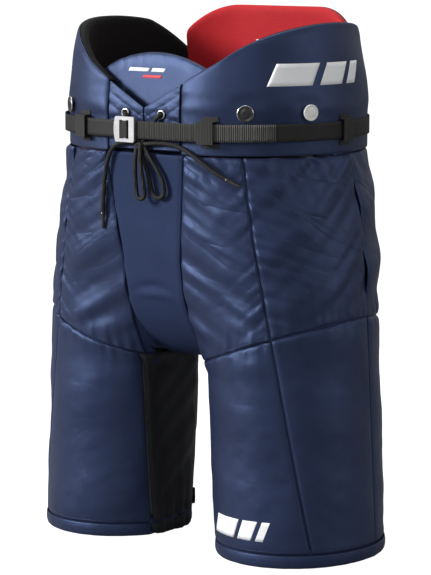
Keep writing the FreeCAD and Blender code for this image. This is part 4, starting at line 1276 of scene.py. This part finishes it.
band, facts = makeSheet("belt_band_webbing", beltRow(0.0014, -0.0290, -0.0042, True), 420, 6, (0, 0),
                        finishes["webbing"])
sculpt(band, facts, lambda u, v, place: 0.0002 * ridge(math.atan2(place.y, place.x) * 6, 71))
finishSheet(band, 0.0012, 0)
enrol(band, "waist", "webbing", "belt_band")
tail, facts = makeSheet("belt_tail_webbing", beltRow(0.0033, -0.0047, 0.150, False), 130, 6, (0, 0),
                        finishes["ribbed"])
finishSheet(tail, 0.0012, 0)
enrol(tail, "waist", "webbing", "belt_tail")


def cleanCopy(node, name, material, bevelWidth=0.0, segments=2, angle=30):
    # a merged copy of a hard CAD piece with its sharp edges eased
    bm = bmesh.new()
    bm.from_mesh(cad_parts[node].data)
    bmesh.ops.remove_doubles(bm, verts=bm.verts[:], dist=mergeDistance)
    bmesh.ops.dissolve_limit(bm, angle_limit=math.radians(2), verts=bm.verts[:], edges=bm.edges[:])
    bmesh.ops.recalc_face_normals(bm, faces=bm.faces[:])
    if bevelWidth:
        sharp = [e for e in bm.edges if len(e.link_faces) == 2 and e.calc_face_angle(0) > math.radians(angle)]
        bmesh.ops.bevel(bm, geom=sharp, offset=bevelWidth, segments=segments, affect="EDGES", profile=0.5,
                        material=-1, clamp_overlap=True)
    piece = link(name, bm, material)
    return piece


hardCopies = {
    "belt_loops": ("waist", "webbing", "webbing", 0.0003),
    "belt_bight": ("buckle_bar", "webbing", "webbing", 0.0003),
    "buckle_frame": ("buckle", "buckle_plastic", "buckle", 0.0005),
    "buckle_bar": ("buckle_bar", "buckle_plastic", "buckle", 0.0003),
}
objectWebbing = makeFabric("blackWebbingLoose", {"dark": (0.009, 0.009, 0.009), "light": (0.016, 0.016, 0.015),
                                                 "thread": (0.05, 0.049, 0.046), "coords": "object",
                                                 "threads": 1000.0, "rough": 0.55, "sheen": 0.1, "gloss": 0.35,
                                                 "bump": 0.7})
for node, (body, slotName, finish, width) in hardCopies.items():
    material = objectWebbing if finish == "webbing" else finishes[finish]
    piece = cleanCopy(node, f"{node}_detailed", material, width)
    for polygon in piece.data.polygons:
        polygon.use_smooth = False
    enrol(piece, body, slotName, node)
print("stage: belt made")


# ---- turned pieces: buttons, washers, eyelets, aglets

def turned(name, profile, places, material, segments=28):
    # profile is radius and height; places are points with a direction
    whole = bmesh.new()
    for centre, direction in places:
        bm = bmesh.new()
        verts = [bm.verts.new((radius, 0, height)) for radius, height in profile]
        edges = [bm.edges.new(pair) for pair in zip(verts, verts[1:])]
        bmesh.ops.spin(bm, geom=verts + edges, cent=(0, 0, 0), axis=(0, 0, 1), angle=math.tau, steps=segments,
                       use_merge=True)
        bmesh.ops.remove_doubles(bm, verts=bm.verts[:], dist=0.00001)
        bmesh.ops.recalc_face_normals(bm, faces=bm.faces[:])
        turn = direction.to_track_quat("Z", "Y").to_matrix().to_4x4()
        bmesh.ops.transform(bm, matrix=Matrix.Translation(centre) @ turn, verts=bm.verts[:])
        part = bpy.data.meshes.new("part")
        bm.to_mesh(part)
        bm.free()
        whole.from_mesh(part)
        bpy.data.meshes.remove(part)
    return link(name, whole, material)


def bothHands(key):
    seat, normal = buttonSeats[key]
    return [(seat, normal), (Vector((-seat.x, seat.y, seat.z)), Vector((-normal.x, normal.y, 0)))]


buttonShape = {
    "disc": [(0, -0.0005), (0.003, -0.0005), (0.003, 0.0019), (0.0086, 0.0020), (0.0090, 0.0026),
             (0.0090, 0.0038), (0.0086, 0.0045), (0.0076, 0.0046),
             (0.0070, 0.0040), (0.0050, 0.0042), (0.0046, 0.0046), (0.0030, 0.0046), (0.0, 0.0045)],
    "ring": [(0.0079, 0.0043), (0.0090, 0.0041), (0.0093, 0.0035), (0.0093, 0.0028), (0.0087, 0.0026),
             (0.0079, 0.0043)],
}
darkButtons = turned("dark_buttons_turned", buttonShape["disc"], bothHands("front") + bothHands("back"),
                     finishes["jet"])
enrol(darkButtons, "waist", "button_black", "dark_buttons")
buttonRings = turned("dark_button_rings", [(r, h + 0.0002) for r, h in buttonShape["ring"]], bothHands("front"),
                     finishes["steel"], 36)
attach(buttonRings, "waist")
sideButtons = turned("side_buttons_turned", buttonShape["disc"], bothHands("side"), finishes["pearl"])
enrol(sideButtons, "waist", "button_white", "side_buttons")

eyeletPlaces = [(Vector((x, -0.132, 0.495)), Vector((0, -1, 0))) for x in (0.025, -0.025)]
eyeletShape = [(0.0034, -0.0046), (0.0050, -0.0046), (0.0050, -0.0041), (0.0037, -0.0036), (0.0037, 0.0002),
               (0.0052, 0.0002), (0.0053, 0.0007),
               (0.0046, 0.0013), (0.0038, 0.0012), (0.0034, 0.0006), (0.0034, -0.0046)]
eyelets = turned("lace_eyelets_turned", eyeletShape, eyeletPlaces, finishes["steel"], 36)
enrol(eyelets, "waist", "eyelet_metal", "lace_eyelets")
print("stage: buttons and eyelets made")

# ---- lace: the routes of the tie, two tails and two loops, in metres

laceWidth = 0.0048
laceRoutes = {
    "lace_tie": [(0.0015, -0.1364, 0.463), (0.0065, -0.1355, 0.472), (0.016, -0.1353, 0.4845),
                 (0.025, -0.1363, 0.495), (0.0252, -0.1234, 0.4952),
                 (0.015, -0.1232, 0.493), (0, -0.123, 0.4956), (-0.015, -0.1232, 0.493),
                 (-0.0252, -0.1234, 0.4952), (-0.025, -0.1363, 0.495),
                 (-0.016, -0.1353, 0.4845), (-0.0065, -0.1355, 0.472), (-0.0015, -0.1364, 0.463)],
    "right_lace_tail": [(-0.003, -0.1368, 0.462), (-0.014, -0.1362, 0.4636), (-0.029, -0.1359, 0.4628),
                        (-0.042, -0.1359, 0.455), (-0.049, -0.135, 0.441),
                        (-0.054, -0.1332, 0.424), (-0.0575, -0.1312, 0.404), (-0.06, -0.1296, 0.39),
                        (-0.061, -0.1284, 0.379)],
    "left_lace_tail": [(0.003, -0.1368, 0.462), (0.016, -0.1362, 0.4638), (0.034, -0.136, 0.4644),
                       (0.052, -0.136, 0.462), (0.067, -0.1352, 0.455),
                       (0.08, -0.1334, 0.4465), (0.093, -0.1304, 0.4376), (0.102, -0.1274, 0.4316),
                       (0.11, -0.1242, 0.4274)],
    "right_lace_loop": [(-0.0024, -0.1404, 0.462), (-0.0032, -0.1424, 0.4505), (-0.0046, -0.1412, 0.436),
                        (-0.0054, -0.1396, 0.421), (-0.0051, -0.1386, 0.4115),
                        (-0.0045, -0.1382, 0.4048), (-0.0014, -0.138, 0.4016), (0.003, -0.138, 0.4016),
                        (0.0061, -0.1382, 0.4048), (0.0063, -0.1388, 0.4115),
                        (0.0056, -0.14, 0.421), (0.0039, -0.1414, 0.436), (0.003, -0.1424, 0.4505),
                        (0.0028, -0.1404, 0.462)],
    "left_lace_loop": [(0.0052, -0.1375, 0.46), (0.011, -0.137, 0.45), (0.018, -0.1356, 0.44),
                       (0.026, -0.1338, 0.427), (0.0295, -0.1326, 0.4145),
                       (0.0282, -0.1318, 0.407), (0.0224, -0.1314, 0.403), (0.0155, -0.1314, 0.4042),
                       (0.0113, -0.1318, 0.41), (0.0096, -0.1328, 0.421),
                       (0.0064, -0.1346, 0.435), (0.0022, -0.1362, 0.448), (0, -0.1373, 0.46)],
}


def smoothLine(name, points):
    curve = bpy.data.curves.new(name, "CURVE")
    curve.dimensions = "3D"
    spline = curve.splines.new("NURBS")
    spline.points.add(len(points) - 1)
    for point, place in zip(spline.points, points):
        point.co = (*place, 1)
    spline.order_u = 3
    spline.use_endpoint_u = True
    curve.resolution_u = 8
    return curve


def linePoints(name):
    # the smooth line of a route, read back from its own spline
    probe = bpy.data.objects.new(name + "Probe", smoothLine(name + "Probe", laceRoutes[name]))
    bpy.context.scene.collection.objects.link(probe)
    mesh = bpy.data.meshes.new_from_object(probe.evaluated_get(bpy.context.evaluated_depsgraph_get()))
    points = [vert.co.copy() for vert in mesh.vertices]
    bpy.data.objects.remove(probe)
    bpy.data.meshes.remove(mesh)
    return points


agletShape = [(0, -0.0030), (0.0024, -0.0030), (0.0025, -0.0012), (0.0023, 0.0004), (0.0019, 0.0030),
              (0.0018, 0.0125), (0.0016, 0.0150), (0.0009, 0.0159), (0, 0.0160)]
laces, aglets = {}, {}
for name, points in laceRoutes.items():
    curve = smoothLine(name, points)
    curve.bevel_depth = laceWidth / 2
    curve.bevel_resolution = 5
    curve.use_fill_caps = True
    curve.materials.append(finishes["cordBraid"])
    lace = bpy.data.objects.new(name + "_braid", curve)
    bpy.context.scene.collection.objects.link(lace)
    laces[name] = enrol(lace, "waist", "lace_cord", name)
    if "tail" in name:
        line = linePoints(name)
        tip = turned(name + "_aglet", agletShape, [(line[-1], (line[-1] - line[-2]).normalized())],
                     finishes["jet"], 16)
        aglets[name] = enrol(tip, "waist", "aglet_plastic", "lace_aglets")

# the knot: the cord wound round itself, then pulled tight
knotShape = {"centre": (0, -0.1382, 0.4605), "half": (0.0075, 0.0049, 0.0058)}
knotLine = [(-0.9, 0.1, 0.3), (-0.4, -0.8, 0.6), (0.5, -0.75, 0.5), (0.95, 0.1, 0.1), (0.3, 0.8, -0.3),
            (-0.6, 0.6, -0.5), (-0.9, -0.2, -0.4),
            (-0.2, -0.85, -0.5), (0.6, -0.65, -0.55), (0.85, 0.2, -0.5), (0.1, 0.5, 0.6), (-0.2, -0.2, 0.8)]
knotCurve = smoothLine("lace_knot",
                       [tuple(c + h * 0.62 * p for c, h, p in zip(knotShape["centre"], knotShape["half"],
                           point)) for point in knotLine])
knotCurve.bevel_depth = 0.0023
knotCurve.bevel_resolution = 5
knotCurve.use_fill_caps = True
knotProbe = bpy.data.objects.new("knotProbe", knotCurve)
bpy.context.scene.collection.objects.link(knotProbe)
knotMesh = bpy.data.meshes.new_from_object(knotProbe.evaluated_get(bpy.context.evaluated_depsgraph_get()))
bpy.data.objects.remove(knotProbe)
knot = bpy.data.objects.new("lace_knot_wound", knotMesh)
bpy.context.scene.collection.objects.link(knot)
knotMesh.materials.clear()
knotMesh.materials.append(finishes["cordBraid"])
for polygon in knotMesh.polygons:
    polygon.use_smooth = True
enrol(knot, "waist", "lace_cord", "lace_knot")

print("stage: lace made")

# ---- heat prints: plain slanted bars on the wing, the thigh and the tongue, and an outline on the spine pad

def hostTree(host):
    graph = bpy.context.evaluated_depsgraph_get()
    piece = bpy.data.objects[host].evaluated_get(graph)
    bm = bmesh.new()
    bm.from_mesh(piece.to_mesh())
    tree = BVHTree.FromBMesh(bm)
    bm.free()
    return tree


def layOn(tree, start, direction, lift=0.0004):
    place, normal, index, distance = tree.ray_cast(start, direction, 0.12)
    return place - direction * lift if place else None


def makePrint(name, host, bars, aim, material, body, slant, shape):
    # aim turns a bar's own place, across and up, into a ray towards the cloth
    tree = hostTree(host)
    whole = bmesh.new()
    for x0, x1, z0, z1 in bars:
        bm = bmesh.new()
        bmesh.ops.create_grid(bm, x_segments=shape[0], y_segments=shape[1], size=0.5)
        for vert in bm.verts:
            u, v = vert.co.x + 0.5, vert.co.y + 0.5
            start, direction = aim(mix(x0, x1, u) + slant * v, mix(z0, z1, v))
            place = layOn(tree, start, direction)
            vert.co = place if place else start
            if not place:
                print("note: a print missed its cloth", name, round(u, 2), round(v, 2))
        part = bpy.data.meshes.new("part")
        bm.to_mesh(part)
        bm.free()
        whole.from_mesh(part)
        bpy.data.meshes.remove(part)
    piece = link(name, whole, material)
    bm = bmesh.new()
    bm.from_mesh(piece.data)
    bm.normal_update()
    start, direction = aim(bars[0][0], bars[0][2])
    if sum(face.normal.dot(direction) for face in bm.faces) > 0:
        bmesh.ops.reverse_faces(bm, faces=bm.faces[:])
    bm.to_mesh(piece.data)
    bm.free()
    wall = piece.modifiers.new("wall", "SOLIDIFY")
    wall.thickness = 0.0003
    wall.offset = -1
    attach(piece, body)
    return piece


def aimWing(across, z):
    # across is a length round the wing from its front edge
    angle = -math.pi / 2 + (across + 0.003) / 0.128
    outside = ringPoint(angle, z, -0.03)
    inside = ringPoint(angle, z, 0.02)
    return outside, (inside - outside).normalized()


def aimThigh(across, z):
    spread, a, b, back = sectionAt(z)
    angle = -math.acos(clamp((seamInnerX - spread) / a, -1, 1)) + (across + 0.02) / 0.1
    outside = ringPoint(angle, z, -0.03)
    inside = ringPoint(angle, z, 0.02)
    return outside, (inside - outside).normalized()


def aimFront(across, z):
    return Vector((across, -0.2, z)), Vector((0, 1, 0))


def aimBack(across, z):
    return Vector((across, 0.05, z)), Vector((0, 1, 0))


printJobs = {
    "wing_print": {"host": "left_wing_cover_cloth", "aim": aimWing, "finish": "print", "body": "waist",
                   "slot": "button_white", "slant": 0.012, "grid": (14, 5),
                   "bars": [(0.098, 0.150, 0.528, 0.552), (0.160, 0.192, 0.528, 0.552),
                            (0.200, 0.216, 0.528, 0.552)]},
    "thigh_print": {"host": "left_thigh_cover_cloth", "aim": aimThigh, "finish": "print", "body": "left_leg",
                    "slot": "button_white", "slant": 0.008, "grid": (14, 5),
                    "bars": [(0.020, 0.062, 0.030, 0.052), (0.068, 0.088, 0.030, 0.052),
                             (0.094, 0.104, 0.030, 0.052)]},
    "tongue_print": {"host": "tongue_pad_cloth", "aim": aimFront, "finish": "print", "body": "tongue",
                     "slot": "button_white", "slant": 0.002, "grid": (10, 3),
                     "bars": [(-0.036, -0.008, 0.5400, 0.5440), (-0.004, 0.014, 0.5400, 0.5440)]},
    "tongue_print_red": {"host": "tongue_pad_cloth", "aim": aimFront, "finish": "printRed", "body": "tongue",
                         "slot": "red_lining", "slant": 0.002, "grid": (10, 3),
                         "bars": [(-0.016, 0.010, 0.5330, 0.5362)]},
}
for name, job in printJobs.items():
    makePrint(name, job["host"], job["bars"], job["aim"], finishes[job["finish"]], job["body"],
              job["slant"], job["grid"])
outline = {"left": -0.030, "right": 0.062, "low": 0.537, "high": 0.566, "line": 0.0010}
frameBars = [(outline["left"], outline["right"], outline["high"] - outline["line"], outline["high"]),
             (outline["left"], outline["right"], outline["low"], outline["low"] + outline["line"]),
             (outline["left"], outline["left"] + outline["line"], outline["low"], outline["high"]),
             (outline["right"] - outline["line"], outline["right"], outline["low"], outline["high"])]
makePrint("spine_print", "spine_lining_pad", frameBars, aimBack, finishes["print"], "waist",
          0.0, (16, 8))
print("stage: prints laid")

# ---- the CAD pieces that stay keep their shapes and get their finishes

keptNodes = {"guard": ["spine_plate", "tailbone_plate", "left_kidney_plate", "right_kidney_plate",
                       "left_hip_plate", "right_hip_plate",
                       "left_thigh_plate", "right_thigh_plate"], "steel": ["button_washers"]}
for finish, names in keptNodes.items():
    for name in names:
        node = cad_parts[name]
        for index in range(len(node.data.materials)):
            node.data.materials[index] = finishes[finish]
        if not node.data.materials:
            node.data.materials.append(finishes[finish])

waistLining = softCopy("waist_lining", "waist_lining_band", 0.0022, 1)
waistLining.data.materials.clear()
waistLining.data.materials.append(makeFabric("blackWaistLining",
                                             {"dark": (0.006, 0.006, 0.007), "light": (0.011, 0.011, 0.012),
                                              "thread": (0.02, 0.02, 0.021),
                                                                  "coords": "object", "threads": 900.0,
                                                                  "rough": 0.85, "gloss": 0.15}))
enrol(waistLining, "waist", "black_lining", "waist_lining")

# ---- floor, light and camera

floorMaterial, floorTree, floorShader = startMaterial("paleFloor")
floorShader.inputs["Base Color"].default_value = (0.25, 0.25, 0.25, 1)
floorShader.inputs["Roughness"].default_value = 0.8
floorShader.inputs["Specular IOR Level"].default_value = 0.1
floorShader.inputs["Emission Color"].default_value = (1, 1, 1, 1)
seenStraight = floorTree.nodes.new("ShaderNodeLightPath")
floorTree.links.new(seenStraight.outputs["Is Camera Ray"], floorShader.inputs["Emission Strength"])
bm = bmesh.new()
bmesh.ops.create_grid(bm, x_segments=1, y_segments=1, size=80)
floor = link("floor", bm, floorMaterial)

world = bpy.data.worlds.new("studio")
bpy.context.scene.world = world
world.use_nodes = True
world.node_tree.nodes["Background"].inputs[0].default_value = (1.0, 1.0, 1.0, 1)
world.node_tree.nodes["Background"].inputs[1].default_value = 0.36

studioLights = {
    "key": {"place": (-1.8, -2.4, 1.5), "aim": (0, -0.1, 0.3), "size": 0.8, "watts": 140},
    "front": {"place": (1.2, -2.9, 1.5), "aim": (0, 0, 0.4), "size": 1.2, "watts": 14},
    "top": {"place": (-0.2, 0.2, 2.8), "aim": (0, 0, 0.3), "size": 1.4, "watts": 30},
    "rim": {"place": (2.9, 0.5, 1.2), "aim": (0.1, 0, 0.35), "size": 0.7, "watts": 12},
}
for name, light in studioLights.items():
    data = bpy.data.lights.new(name, "AREA")
    data.size = light["size"]
    data.energy = light["watts"]
    lamp = bpy.data.objects.new(name, data)
    bpy.context.scene.collection.objects.link(lamp)
    lamp.location = light["place"]
    lamp.rotation_euler = (Vector(light["aim"]) - Vector(light["place"])).to_track_quat("-Z", "Y").to_euler()

cameraView = {"place": (1.739, -2.318, 0.710), "aim": (0, 0, 0.287), "lens": 159.5}
cameraData = bpy.data.cameras.new("camera")
cameraData.lens = cameraView["lens"]
cameraData.sensor_width = 36
camera = bpy.data.objects.new("camera", cameraData)
bpy.context.scene.collection.objects.link(camera)
camera.location = cameraView["place"]
camera.rotation_euler = (Vector(cameraView["aim"]) - Vector(cameraView["place"])).to_track_quat("-Z",
    "Y").to_euler()
bpy.context.scene.camera = camera
bpy.context.scene.view_settings.view_transform = "Standard"
bpy.context.scene.view_settings.look = "None"
print("stage: studio set")
